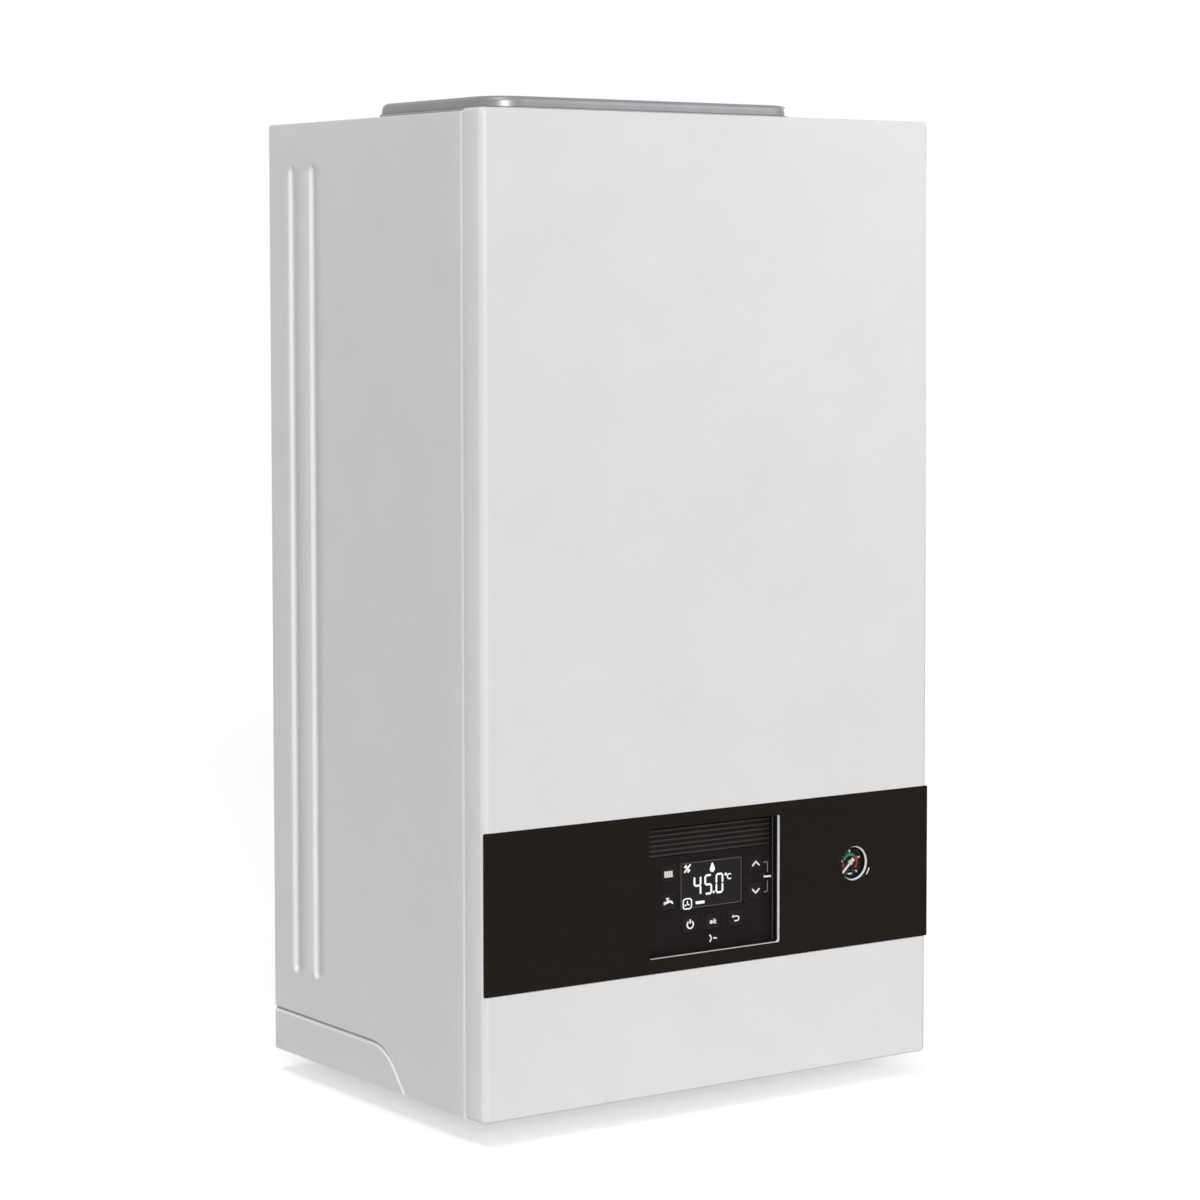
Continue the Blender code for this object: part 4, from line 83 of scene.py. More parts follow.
def linear(code):
    """Turns an sRGB hex colour into linear values: above 0.04045 by the power of 2.4."""
    parts = np.array([int(code[i : i + 2], 16) for i in (0, 2, 4)]) / 255
    values = np.where(parts > 0.04045, ((parts + 0.055) / 1.055) ** 2.4, parts / 12.92)
    return (*values.tolist(), 1.0)


def new_material(name):
    """An empty node material and its output node."""
    material = bpy.data.materials.new(name)
    material.use_nodes = True
    material.node_tree.nodes.clear()
    return material, material.node_tree, material.node_tree.nodes.new("ShaderNodeOutputMaterial")


floor_size = 60.0
floor_glow = 0.535
floor_level = packed_box[0][2]
floor_corners = np.array([(-1, -1), (1, -1), (1, 1), (-1, 1)]) * floor_size / 2
floor_mesh = bpy.data.meshes.new("floor")
floor_mesh.from_pydata([(x, y, floor_level) for x, y in floor_corners.tolist()], [], [(0, 1, 2, 3)])
floor = bpy.data.objects.new("floor", floor_mesh)
bpy.context.scene.collection.objects.link(floor)
floor_material, tree, output = new_material("studio_floor")
diffuse = add(tree, "ShaderNodeBsdfDiffuse", {"Color": linear("F2F2F2")})
path = add(tree, "ShaderNodeLightPath", {})
camera_ray = {0: path.outputs["Is Camera Ray"]}
glow = add(tree, "ShaderNodeMath", {"operation": "MULTIPLY", 1: floor_glow}, camera_ray)
lit = add(tree, "ShaderNodeEmission", {}, {"Strength": glow.outputs[0]})
both = add(tree, "ShaderNodeAddShader", {}, {0: diffuse.outputs[0], 1: lit.outputs[0]})
tree.links.new(both.outputs[0], output.inputs["Surface"])
floor_mesh.materials.append(floor_material)

surround = bpy.data.worlds.new("surround")
surround.use_nodes = True
tree = surround.node_tree
tree.nodes.clear()
output = tree.nodes.new("ShaderNodeOutputWorld")
path = add(tree, "ShaderNodeLightPath", {})
seen = path.outputs["Is Camera Ray"]
for ray in ("Is Glossy Ray", "Is Transmission Ray"):
    seen = add(tree, "ShaderNodeMath", {"operation": "MAXIMUM"}, {0: seen, 1: path.outputs[ray]}).outputs[0]
fill_light = add(tree, "ShaderNodeBackground", {"Color": linear("F8F8F8"), "Strength": 0.17})
backdrop = add(tree, "ShaderNodeBackground", {"Color": linear("FFFFFF"), "Strength": 1.0})
lights = {0: seen, 1: fill_light.outputs[0], 2: backdrop.outputs[0]}
mixed = add(tree, "ShaderNodeMixShader", {}, lights)
tree.links.new(mixed.outputs[0], output.inputs["Surface"])
bpy.context.scene.world = surround
bpy.context.scene.view_settings.view_transform = "Standard"


def soft_sun(name, towards, strength, spread):
    """A sun lamp that shines from the direction given, spread over an angle in degrees."""
    lamp = bpy.data.lights.new(name, "SUN")
    lamp.energy = strength
    lamp.angle = math.radians(spread)
    holder = bpy.data.objects.new(name, lamp)
    holder.rotation_euler = Vector(towards).to_track_quat("Z", "Y").to_euler()
    bpy.context.scene.collection.objects.link(holder)


soft_sun("edge_lamp", (-0.45, -0.86, 0.28), 1.70, 16)
soft_sun("top_lamp", (-0.30, -0.20, 0.93), 0.75, 20)
soft_sun("rear_lamp", (0.90, 0.42, 0.10), 0.95, 24)

box_place = Vector((0.55, -0.77, 0.46))
box_aim = Vector((0.1, -0.3, 0.0))
soft_box = bpy.data.lights.new("soft_box", "AREA")
soft_box.size = 0.5
soft_box.energy = 1.5
box_holder = bpy.data.objects.new("soft_box", soft_box)
box_holder.location = box_place
box_holder.rotation_euler = (box_place - box_aim).to_track_quat("Z", "Y").to_euler()
bpy.context.scene.collection.objects.link(box_holder)

eye_place = (-1.4503, -2.2832, -0.0511)
eye_turn = 35.277
eye_dip = 3.668
eye_shift = (-0.0524, -0.0845)
eye = bpy.data.cameras.new("eye")
eye.lens = 102.06
eye.sensor_width = 36.0
eye.shift_x, eye.shift_y = eye_shift
camera = bpy.data.objects.new("eye", eye)
camera.location = eye_place
camera.rotation_euler = (math.radians(90 - eye_dip), 0, math.radians(-eye_turn))
bpy.context.scene.collection.objects.link(camera)
bpy.context.scene.camera = camera


# Side panels
# Sheet steel, 1 mm, powder-coated white, folded inwards at the front edge. Two long stiffening
# grooves are pressed in near the wall, and the lower rear corner is cut away round the end cover.
def grid_mesh(name, points, around=False, closed=False):
    """Joins each point of a grid to its neighbours with four-sided faces.

    Around joins the last column to the first. Closed puts one face over the first row and one
    over the last.
    """
    rows, columns = points.shape[:2]
    across = np.arange(columns if around else columns - 1)
    row, column = np.meshgrid(np.arange(rows - 1), across, indexing="ij")
    after = (column + 1) % columns
    corners = [row * columns + column, row * columns + after]
    corners += [(row + 1) * columns + after, (row + 1) * columns + column]
    faces = np.stack(corners, axis=-1).reshape(-1, 4).tolist()
    if closed:
        faces.append(list(range(columns)))
        faces.append(list(range((rows - 1) * columns, rows * columns)))
    mesh = bpy.data.meshes.new(name)
    mesh.from_pydata(points.reshape(-1, 3).tolist(), [], faces)
    return mesh


def turn_outwards(mesh):
    """Merges doubled points and turns the faces of closed shells outwards."""
    work = bmesh.new()
    work.from_mesh(mesh)
    bmesh.ops.remove_doubles(work, verts=work.verts, dist=1e-7)
    bmesh.ops.recalc_face_normals(work, faces=work.faces)
    work.to_mesh(mesh)
    work.free()


def place_piece(name, mesh, material, body, slot, replaced=(), crease=35):
    """Puts a mesh in the scene with its finish, on the body that carries it."""
    turn_outwards(mesh)
    mesh.materials.clear()
    mesh.materials.append(material)
    mesh.shade_smooth()
    mesh.set_sharp_from_angle(angle=math.radians(crease))
    piece = bpy.data.objects.new(name, mesh)
    bpy.context.scene.collection.objects.link(piece)
    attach(piece, body)
    if replaced:
        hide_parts(*replaced)
    return piece


def coat_nodes(material, *nodes):
    """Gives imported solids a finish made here."""
    for name in nodes:
        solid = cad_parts[name]
        solid.data.materials.clear()
        solid.data.materials.append(material)


def placed_material(name):
    """An empty node material, its nodes, its output node and the piece's own coordinates."""
    material, tree, output = new_material(name)
    return material, tree, output, add(tree, "ShaderNodeTexCoord", {}).outputs["Object"]


def noise(tree, place, cell, detail, roughness=0.5):
    """Noise from 0 to 1 whose cells have the size given, in metres."""
    settings = {"Scale": 1 / cell, "Detail": detail, "Roughness": roughness}
    return add(tree, "ShaderNodeTexNoise", settings, {"Vector": place}).outputs["Fac"]


def between(tree, share, start, end):
    """The value that lies between two others by a share from 0 to 1."""
    return add(tree, "ShaderNodeMapRange", {"To Min": start, "To Max": end}, {"Value": share}).outputs[0]


def share_of(tree, value, start, end):
    """The share from 0 to 1 of the way that a value has gone from one number to another."""
    return add(tree, "ShaderNodeMapRange", {"From Min": start, "From Max": end}, {"Value": value}).outputs[0]


def mixed_colour(tree, share, first, second):
    """Mixes two hex colours by the share of the second."""
    settings = {"data_type": "RGBA", 6: linear(first), 7: linear(second)}
    return add(tree, "ShaderNodeMix", settings, {0: share}).outputs[2]


def bump(tree, height, relief):
    """Leans the surface as if it rose by the relief where the height is 1."""
    settings = {"Strength": 1.0, "Distance": relief}
    return add(tree, "ShaderNodeBump", settings, {"Height": height}).outputs[0]


def shade(tree, output, settings, links):
    """Adds the shader that answers the light, and links it to the material's output."""
    shader = add(tree, "ShaderNodeBsdfPrincipled", settings, links)
    tree.links.new(shader.outputs[0], output.inputs["Surface"])


def grained(
    name, light, dark, roughness, grain, relief, metallic=0.0, spread=0.05, stretch=(1, 1, 1), gloss=0.5
):
    """A coated, moulded or cast finish.

    Noise with cells of the grain's size mixes two close colours, varies the roughness by the spread
    and lifts the surface by the relief. Stretch draws the grain out along an axis, as brushing does.
    """
    material, tree, output, place = placed_material(name)
    drawn_out = add(tree, "ShaderNodeMapping", {"Scale": stretch}, {"Vector": place})
    fine = noise(tree, drawn_out.outputs[0], grain, 4.0, 0.55)
    broad = noise(tree, place, grain * 40, 3.0)
    blend = add(tree, "ShaderNodeMath", {"operation": "MULTIPLY"}, {0: fine, 1: broad})
    tint = mixed_colour(tree, share_of(tree, blend.outputs[0], 0.12, 0.42), light, dark)
    dull = between(tree, broad, roughness - spread, roughness + spread)
    links = {"Base Color": tint, "Roughness": dull, "Normal": bump(tree, fine, relief)}
    shade(tree, output, {"Metallic": metallic, "Specular IOR Level": gloss}, links)
    return material


# Powder coat on steel, fused in an oven: a faint orange peel about 2 mm across and a soft sheen
powder_coat = grained(
    "white_powder_coat", "E9E9EA", "E4E4E6", 0.36, 0.0016, 0.000006, spread=0.03, gloss=0.45
)

panel_sheet = 0.001
panel_fold = 0.003
fold_flange = 0.0145
flange_start = 0.020
groove_half = 0.0050
groove_flank = 0.0020
groove_depth = 0.0026
top_round = 0.0012
groove_places = (-0.034, -0.065)
skin_low, skin_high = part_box("left_side_panel")
floor_edge = skin_low.z
groove_ends = (floor_edge + 0.0633, floor_edge + 0.6750)


def cover_height(depth, straight, bend, rise, slant):
    """Height of the lower cover's top edge at a distance from the wall, both positive.

    Level up to the straight length, then an arc of the bend's radius, then a fall at the slant.
    """
    drop_at = straight + bend * math.sin(slant)
    arc = bend - np.sqrt(np.maximum(bend**2 - np.clip(depth - straight, 0, bend) ** 2, 0))
    arc_end = bend * (1 - math.cos(slant))
    fall = arc_end + (depth - drop_at) * math.tan(slant)
    lowered = np.where(depth < drop_at, np.where(depth > straight, arc, 0), fall)
    return np.maximum(rise - lowered, 0)


lower_rise = 0.031
lower_straight = 0.146
lower_bend = 0.041
lower_slant = math.radians(47)
seam = 0.0015
# The panel's cut-out is a little wider still, so that the seam under it shows dark
cut_seam = 0.0021


def side_panel_mesh(name, side):
    """The panel as one sheet: a path runs from the wall to the front and turns inwards round the fold,
    and each point of the path is carried up from the cut-out's edge to the top. A groove has a flat
    bottom, and its flanks rise by half of one plus the cosine of the distance across them. The top
    edge leans in by one minus the cosine of an angle that grows over the last millimetre."""
    dense, beyond, row_gap = 0.014, 0.002, 0.012
    fold_y = skin_low.y + panel_fold
    near = [place + np.linspace(groove_half, -groove_half, 31) for place in groove_places]
    plain = [np.linspace(-0.080, -0.130, 3), np.linspace(-0.142, -0.1975, 26)]
    plain.append(np.linspace(-0.215, fold_y, 4))
    flat = np.concatenate([[0, -row_gap, -2 * row_gap], *near, *plain])
    turn = np.radians(np.linspace(0, 90, 7))[1:]
    depth = np.concatenate([flat, fold_y - panel_fold * np.sin(turn), [skin_low.y, skin_low.y]])
    bend_in = panel_fold * (1 - np.cos(turn))
    inset = np.concatenate([np.zeros(len(flat)), bend_in, [fold_flange * 0.5, fold_flange]])
    start = cover_height(-depth, lower_straight, lower_bend + cut_seam, lower_rise + cut_seam, lower_slant)
    start = floor_edge + np.where(inset > panel_fold * 0.5, flange_start, start)
    low_rows = start + np.linspace(0, 1, 9)[:, None] * (groove_ends[0] - 2 * beyond - start)
    bottom_end = np.linspace(groove_ends[0] - beyond, groove_ends[0] + dense, 15)
    top_end = np.linspace(groove_ends[1] - dense, groove_ends[1] + beyond, 15)
    middle = np.linspace(bottom_end[-1], top_end[0], 16)[1:-1]
    lean = np.radians(np.linspace(0, 80, 6))
    rounded = skin_high.z - top_round + top_round * np.sin(lean)
    fixed = np.concatenate([bottom_end, middle, top_end, [groove_ends[1] + row_gap], rounded])
    rows = np.concatenate([low_rows, np.repeat(fixed[:, None], len(depth), axis=1)])
    path_y = np.repeat(depth[None, :], len(rows), axis=0)
    sink = np.zeros_like(rows)
    for place in groove_places:
        past = np.maximum(groove_ends[0] + groove_half - rows, rows - (groove_ends[1] - groove_half))
        away = np.hypot(path_y - place, np.maximum(past, 0))
        across = np.clip((away - groove_half + groove_flank) / groove_flank, 0, 1)
        sink += groove_depth * 0.5 * (1 + np.cos(np.pi * across))
    sink[-len(lean) :] = top_round * (1 - np.cos(lean))[:, None]
    path_x = side * (abs(skin_low.x) - inset[None, :] - sink)
    return grid_mesh(name, np.stack([path_x, path_y, rows], axis=-1))


def worked(mesh, steps):
    """The mesh as a row of modifiers leaves it, each given by its kind and settings."""
    holder = bpy.data.objects.new("worked", mesh)
    bpy.context.scene.collection.objects.link(holder)
    for kind, settings in steps:
        step = holder.modifiers.new(kind, kind)
        for name, value in settings.items():
            setattr(step, name, value)
    graph = bpy.context.evaluated_depsgraph_get()
    shaped = bpy.data.meshes.new_from_object(holder.evaluated_get(graph))
    bpy.data.objects.remove(holder)
    return shaped


def face_out(mesh, side):
    """Turns a sheet's faces to the left or right, so that its thickness grows inwards."""
    normals = np.zeros(len(mesh.polygons) * 3)
    mesh.polygons.foreach_get("normal", normals)
    if normals.reshape(-1, 3)[:, 0].sum() * side < 0:
        mesh.flip_normals()


def place_sheet(name, mesh, side, material, replaced):
    """Puts a thin coated sheet in the scene, its outer face towards the side given."""
    face_out(mesh, side)
    step = ("SOLIDIFY", {"thickness": panel_sheet, "offset": -1.0, "use_even_offset": True})
    return place_piece(name, worked(mesh, [step]), material, "casing", "white_enamel", [replaced])


for side, label in ((-1, "left"), (1, "right")):
    name = label + "_side_skin"
    place_sheet(name, side_panel_mesh(name, side), side, powder_coat, label + "_side_panel")


# Lower end covers
# A small plate of the same coated steel closes each panel's cut-out and lifts off for the pipework.
# Its top edge follows the cut-out with an even seam and is rolled inwards, in a lighter white that is a
# painted highlight, and a matt black strip behind the seam is painted shade that makes the seam show dark.
lip_roll = 0.0020
# The rolled and folded edges are a purer white than the flat sheet: a painted highlight where they turn to
# the light
fold_coat = grained("white_painted_highlight_coat", "F7F7F8", "F3F3F4", 0.30, 0.0016, 0.000004, spread=0.03, gloss=0.5)
# A matt black strip behind the seam, with a grain about half a millimetre across: painted shade, so that the
# seam shows dark
black_foam = grained("painted_seam_shade", "1D1D1D", "151515", 0.90, 0.0005, 0.00004, spread=0.04, gloss=0.15)
plate_outer = abs(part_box("left_lower_cover")[0].x)
plate_reach = -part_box("left_lower_cover")[0].y
plate_short = 0.0004
foam_short = 0.0005
# Each corner of the strip's section: how much wider than the cover it lies, and how far inside the face
foam_section = ((0.004, 0.0013), (-0.003, 0.0021), (-0.003, 0.0029), (0.004, 0.0029))


def plate_depths(start, end):
    """Distances from the wall: eight along the level edge, then 39 more over the bend and the slant."""
    return np.concatenate([np.linspace(start, lower_straight, 8), np.linspace(lower_straight, end, 40)[1:]])


def end_cover_points(side, share, angle):
    """Points of the cover: each row stands at a share of the plate's height, or, round the lip, at an
    angle of the quarter circle by which the lip is rolled inwards."""
    depth = plate_depths(0, plate_reach - plate_short)
    height = cover_height(depth, lower_straight, lower_bend, lower_rise, lower_slant)
    share, angle = np.array(share)[:, None], np.radians(angle)[:, None]
    body = np.maximum(height - lip_roll, 0)[None, :]
    tall = np.minimum(height, lip_roll)[None, :]
    z = floor_edge + share * body + np.sin(angle) * tall
    x = side * (plate_outer - (1 - np.cos(angle)) * lip_roll * np.ones_like(body))
    y = np.repeat(-depth[None, :], len(share), axis=0)
    return np.stack([x, y, z], axis=-1)


def foam_strip_points(side):
    """A closed band along the seam: its four edges follow the cover height, drawn a little wider and
    narrower than the seam, just inside the sheet."""
    depth = plate_depths(foam_short, plate_reach - 2 * foam_short)
    edges = []
    for wider, behind in foam_section:
        height = cover_height(depth, lower_straight, lower_bend + wider, lower_rise + wider, lower_slant)
        inside = np.full_like(depth, side * (plate_outer - behind))
        edges.append(np.stack([inside, -depth, floor_edge + height], axis=-1))
    return np.stack(edges, axis=1)


# Each cover's lip is in the lighter white, a painted highlight, and its black strip is painted shade in the
# seam
for side, label in ((-1, "left"), (1, "right")):
    hidden = label + "_lower_cover"
    plate = grid_mesh(label + "_end_cover", end_cover_points(side, np.linspace(0, 1, 6), np.zeros(6)))
    place_sheet(label + "_end_cover", plate, side, powder_coat, hidden)
    lip = grid_mesh(label + "_cover_lip", end_cover_points(side, np.ones(7), np.linspace(0, 90, 7)))
    place_sheet(label + "_cover_lip", lip, side, fold_coat, hidden)
    strip = grid_mesh(label + "_seam_shade_strip", foam_strip_points(side), around=True, closed=True)
    place_piece(label + "_seam_shade_strip", strip, black_foam, "casing", "seal_grey")


# Roof panel and rear frame
# The roof is the same coated sheet. The frame and the base tray are hot-dip galvanised steel, whose
# zinc sets in spangles about a centimetre across, some brighter than others.
coat_nodes(powder_coat, "roof_panel")

# The zinc's spangles differ a little in colour and gloss, so the bare sheet looks mottled
spangle = 0.011
zinc_skin, tree, output, place = placed_material("galvanised_steel")
cells = add(tree, "ShaderNodeTexVoronoi", {"Scale": 1 / spangle, "Randomness": 1.0}, {"Vector": place})
bright = add(tree, "ShaderNodeSeparateColor", {}, {"Color": cells.outputs["Color"]})
tint = mixed_colour(tree, bright.outputs[0], "B4B8BA", "A2A6A9")
dull = between(tree, bright.outputs[1], 0.34, 0.52)
shade(tree, output, {"Metallic": 0.85}, {"Base Color": tint, "Roughness": dull})
coat_nodes(zinc_skin, "rear_frame", "base_tray")


# Roof tray and its seal
# A drawn metal tray in silver-grey paint covers the flue adapter. It stands on a strip of grey foam
# rubber that stands out a little on all sides.
def rounded_outline(centre, size, radius, steps):
    """Points round a rectangle whose corners are quarter circles of the radius."""
    angle = np.radians(np.linspace(0, 90, steps + 1))
    quarter = np.array([0, 90, 180, 270])
    signs = np.array([(1, 1), (-1, 1), (-1, -1), (1, -1)])
    turns = angle[None, :] + np.radians(quarter)[:, None]
    middle = signs * (np.array(size) / 2 - radius)
    x = centre[0] + middle[:, :1] + radius * np.cos(turns)
    z = centre[1] + middle[:, 1:] + radius * np.sin(turns)
    return np.stack([x.ravel(), z.ravel()], axis=-1)


def stack(outlines, levels, axis):
    """A grid of points: each outline is one row, set at its level along the axis."""
    outlines = np.array(outlines)
    level = np.repeat(np.array(levels)[:, None], outlines.shape[1], axis=1)
    order = {"X": (level, outlines[..., 0], outlines[..., 1])}
    order["Y"] = (outlines[..., 0], level, outlines[..., 1])
    order["Z"] = (outlines[..., 0], outlines[..., 1], level)
    return np.stack(order[axis], axis=-1)


def lofted(name, outlines, levels, axis, closed=True):
    """A shell through a stack of outlines, each at its level along the axis."""
    return grid_mesh(name, stack(outlines, levels, axis), around=True, closed=closed)


def lathe(name, profile, axis, centre, steps):
    """Turns a profile of radius and level round an axis. Rows are the profile's points."""
    profile = np.array(profile, float)
    angle = np.linspace(0, 2 * np.pi, steps, endpoint=False)
    rings = profile[:, :1, None] * np.stack([np.cos(angle), np.sin(angle)])[None]
    outlines = np.array(centre)[None, None, :] + np.moveaxis(rings, 1, 2)
    return grid_mesh(name, stack(outlines, profile[:, 1], axis), around=True)


def cylinder(name, radius, start, end, axis, centre, steps):
    """A plain cylinder between two levels along the axis."""
    return lathe(name, [(0, start), (radius, start), (radius, end), (0, end)], axis, centre, steps)


def middle_of(node, ways="xz"):
    """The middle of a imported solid's box along two axes."""
    low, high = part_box(node)
    return tuple((getattr(low, way) + getattr(high, way)) / 2 for way in ways)


def arc(centre, radius, start, end, steps):
    """Points of an arc from one angle to another, in degrees, as radius and level pairs."""
    angle = np.radians(np.linspace(start, end, steps + 1))
    return [(centre[0] + radius * math.cos(a), centre[1] + radius * math.sin(a)) for a in angle]


def carve(mesh, *cutters):
    """Takes the cutters' shapes out of a mesh and returns the carved one."""
    turn_outwards(mesh)
    tools = [bpy.data.objects.new("tool", cutter) for cutter in cutters]
    for tool in tools:
        bpy.context.scene.collection.objects.link(tool)
        turn_outwards(tool.data)
    steps = [("BOOLEAN", {"operation": "DIFFERENCE", "solver": "EXACT", "object": tool}) for tool in tools]
    shaped = worked(mesh, steps)
    for tool in tools:
        bpy.data.objects.remove(tool)
    return shaped


# Silver paint over steel: fine metallic flakes and a satin clear layer
silver_paint = grained("silver_paint", "919294", "88898B", 0.37, 0.0006, 0.000004, metallic=0.50, spread=0.05)
# Closed-cell foam rubber: matt grey with a fine open grain
foam_seal = grained("grey_foam_seal", "B9BBBD", "A4A6A8", 0.85, 0.0012, 0.00005, spread=0.05, gloss=0.2)

tray_low, tray_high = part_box("top_tray")
tray_middle = middle_of("top_tray", "xy")
tray_size = (tray_high.x - tray_low.x, tray_high.y - tray_low.y)
tray_corner = 0.028
tray_shoulder = 0.0045
tray_sheet = 0.0012
foot_height = 0.0006
skirt_lean = 0.0005
flue_hole = 0.0528
cut_over = 0.002
seal_low, seal_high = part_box("tray_gasket")
seal_bulge = 0.0006
seal_proud = 0.0015
seal_width = 0.014


def tray_outline(inset):
    """The tray's outline, drawn in by the inset on all sides."""
    size = (tray_size[0] - 2 * inset, tray_size[1] - 2 * inset)
    return rounded_outline(tray_middle, size, tray_corner - inset, 12)


def tray_shell(name, wall, bottom):
    """The tray in outlines drawn in by growing insets: an upright foot, a leaning skirt and a
    quarter-round shoulder. The wall moves the whole form inwards."""
    steps = np.radians(np.linspace(0, 90, 9))
    reach = tray_shoulder - wall
    insets = [wall, wall, *(wall + skirt_lean + reach * (1 - np.cos(steps))), wall + reach + 2 * skirt_lean]
    levels = [bottom, bottom + foot_height, *(tray_high.z - wall - reach * (1 - np.sin(steps)))]
    levels.append(tray_high.z - wall)
    return lofted(name, [tray_outline(inset) for inset in insets], levels, "Z")


tray_room = tray_shell("tray_room", tray_sheet, tray_low.z - 0.001)
hole_tool = cylinder("hole_tool", flue_hole, tray_low.z, tray_high.z + cut_over, "Z", tray_middle, 96)
tray_body = carve(tray_shell("roof_tray", 0, tray_low.z), tray_room, hole_tool)
place_piece("roof_tray", tray_body, silver_paint, "casing", "silver_tray", ["top_tray"])

seal_steps = np.radians(np.linspace(-90, 90, 9))
seal_insets = [*(seal_bulge * (1 - np.cos(seal_steps)) - seal_proud), seal_width, seal_width]
seal_levels = [*(seal_low.z + (seal_high.z - seal_low.z) * (0.5 + 0.5 * np.sin(seal_steps)))]
seal_levels += [seal_high.z, seal_low.z, seal_levels[0]]
seal_rows = [tray_outline(inset) for inset in seal_insets + seal_insets[:1]]
seal_mesh = lofted("foam_seal", seal_rows, seal_levels, "Z", closed=False)
place_piece("foam_seal", seal_mesh, foam_seal, "casing", "seal_grey", ["tray_gasket"])


# Flue and air adapter
# White polypropylene: an outer air collar with a flange on the roof, an inner socket with a bead for
# its lip seal, and a web with round air holes that joins the two.
def place_turned(name, profile, axis, centre, steps, material, body, slot, replaced=()):
    """Puts a turned profile of radius and level in the scene."""
    return place_piece(name, lathe(name, profile, axis, centre, steps), material, body, slot, replaced)


# Moulded polypropylene: off-white, with a soft sheen and no sharp reflections
flue_plastic = grained("white_polypropylene", "E2E2DF", "DADAD6", 0.42, 0.0010, 0.000008, gloss=0.4)
adapter_low, adapter_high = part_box("flue_adapter")
collar_inner = 0.0505
collar_outer = 0.0525
socket_inner = 0.0300
socket_outer = 0.0320
socket_bead = 0.0014
wall_half = 0.0010
collar_top = adapter_high.z
socket_top = collar_top - 0.0057
bead_level = socket_top - 0.008
bead_lead = 0.004
roof_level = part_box("roof_panel")[1].z
web_low = roof_level - 0.038
web_high = web_low + 0.003
flange_low = roof_level + 0.0003
flange_high = flange_low + 0.002
flange_reach = 0.0634
flange_fillet = 0.0008
web_sink = 0.0005
air_hole = 0.007

collar_profile = [(collar_inner, web_low), (collar_outer, web_low), (collar_outer, flange_low)]
collar_profile += [(flange_reach, flange_low)]
collar_profile += arc((flange_reach, flange_low + wall_half), wall_half, -90, 90, 6)
collar_profile += [(collar_outer + flange_fillet, flange_high), (collar_outer, flange_high + flange_fillet)]
collar_profile += arc(((collar_inner + collar_outer) / 2, collar_top - wall_half), wall_half, 0, 180, 8)
collar_profile += [(collar_inner, web_low)]
flue_look = (flue_plastic, "casing", "flue_white")
place_turned("air_collar", collar_profile, "Z", tray_middle, 96, *flue_look, ["flue_adapter"])
socket_profile = [(socket_inner, adapter_low.z), (socket_outer, adapter_low.z)]
socket_profile += [(socket_outer, bead_level - bead_lead)]
socket_profile += arc((socket_outer, bead_level), socket_bead, -90, 90, 6)
socket_profile += arc(((socket_inner + socket_outer) / 2, socket_top - wall_half), wall_half, 0, 180, 8)
socket_profile += arc((socket_inner, bead_level), -socket_bead, -90, 90, 6)[::-1]
socket_profile += [(socket_inner, adapter_low.z)]
place_turned("flue_socket", socket_profile, "Z", tray_middle, 72, *flue_look)

web_in, web_out = socket_outer - web_sink, collar_inner + web_sink
web_edge = [(web_in, web_low), (web_out, web_low), (web_out, web_high), (web_in, web_high), (web_in, web_low)]
web_ring = (collar_inner + socket_outer) / 2
web_tools = []
for quarter in range(4):
    turn = math.radians(90 * quarter)
    middle = (tray_middle[0] + web_ring * math.cos(turn), tray_middle[1] + web_ring * math.sin(turn))
    web_tools.append(cylinder("air_hole", air_hole, web_low - cut_over, web_high + cut_over, "Z", middle, 32))
web_mesh = carve(lathe("flue_web", web_edge, "Z", tray_middle, 96), *web_tools)
place_piece("flue_web", web_mesh, *flue_look)
coat_nodes(flue_plastic, "flue_pipe")


# Front cover
# One pan of the same coated steel, with round upright edges and tighter ones at top and bottom. It is
# set back behind the control band, and its openings have short folded edges in a lighter white, a painted
# highlight.
cover_low, cover_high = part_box("front_cover")
cover_edge = 0.0045
edge_flatness = 0.55
# A narrow flat margin keeps the wide faces evenly lit up to their rounded edges
face_margin = 0.0004
cover_top_edge = 0.002
cover_corner = 0.0035
band_low, band_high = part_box("control_band")
band_face = cover_low.y
pocket_floor = band_face + 0.0015
backing = 0.001
window_centre = (0.0001, floor_edge + 0.148)
window_size = (0.1184, 0.095)
window_corner = 0.002
reveal_wall = 0.0012
reveal_rear = band_face + 0.0043
gauge_centre = middle_of("gauge_dial")
gauge_hole = 0.012
gauge_reveal_rear = band_face + 0.0026
opening_gap = 0.0004
cut_past = 0.01
cover_middle = (0.0, (cover_low.z + cover_high.z) / 2)
cover_rear = skin_low.y - seam


def cover_shell(name, wall, rear):
    """The pan in outlines: they grow from the front face over the edge to the full size, by the
    upright edge's width across and the top edge's width up and down. The edge's profile lies between a
    quarter of an ellipse and a straight slope, by the flatness."""
    turn = np.radians(np.linspace(0, 90, 11))
    slope = np.linspace(0, 1, 11)
    short = 1 - np.sin(turn) * (1 - edge_flatness) - slope * edge_flatness
    deep = (1 - np.cos(turn)) * (1 - edge_flatness) + slope * edge_flatness
    wide = cover_high.x - cover_low.x - 2 * wall
    tall = cover_high.z - cover_low.z - 2 * wall
    edge, top_edge = cover_edge - wall, cover_top_edge - wall * 0.9
    short, deep = np.append(1 + face_margin / edge, short), np.append(0, deep)
    widths = wide - 2 * edge * short
    heights = tall - 2 * np.maximum(top_edge * short, top_edge * (short > 1) + face_margin * (short > 1))
    levels = band_face + wall + edge * deep
    outlines = [rounded_outline(cover_middle, size, cover_corner - wall, 8) for size in zip(widths, heights)]
    return lofted(name, outlines + [outlines[-1]], [*levels, rear], "Y")


def window_outline(grow, steps=6):
    """The control window's outline, grown by a margin on all sides."""
    size = (window_size[0] + 2 * grow, window_size[1] + 2 * grow)
    return rounded_outline(window_centre, size, window_corner + grow, steps)


def slab(name, x, y, z):
    """A block between two corners, as a stack of two rectangles."""
    outline = np.array([(x[0], z[0]), (x[1], z[0]), (x[1], z[1]), (x[0], z[1])])
    return lofted(name, [outline, outline], y, "Y")


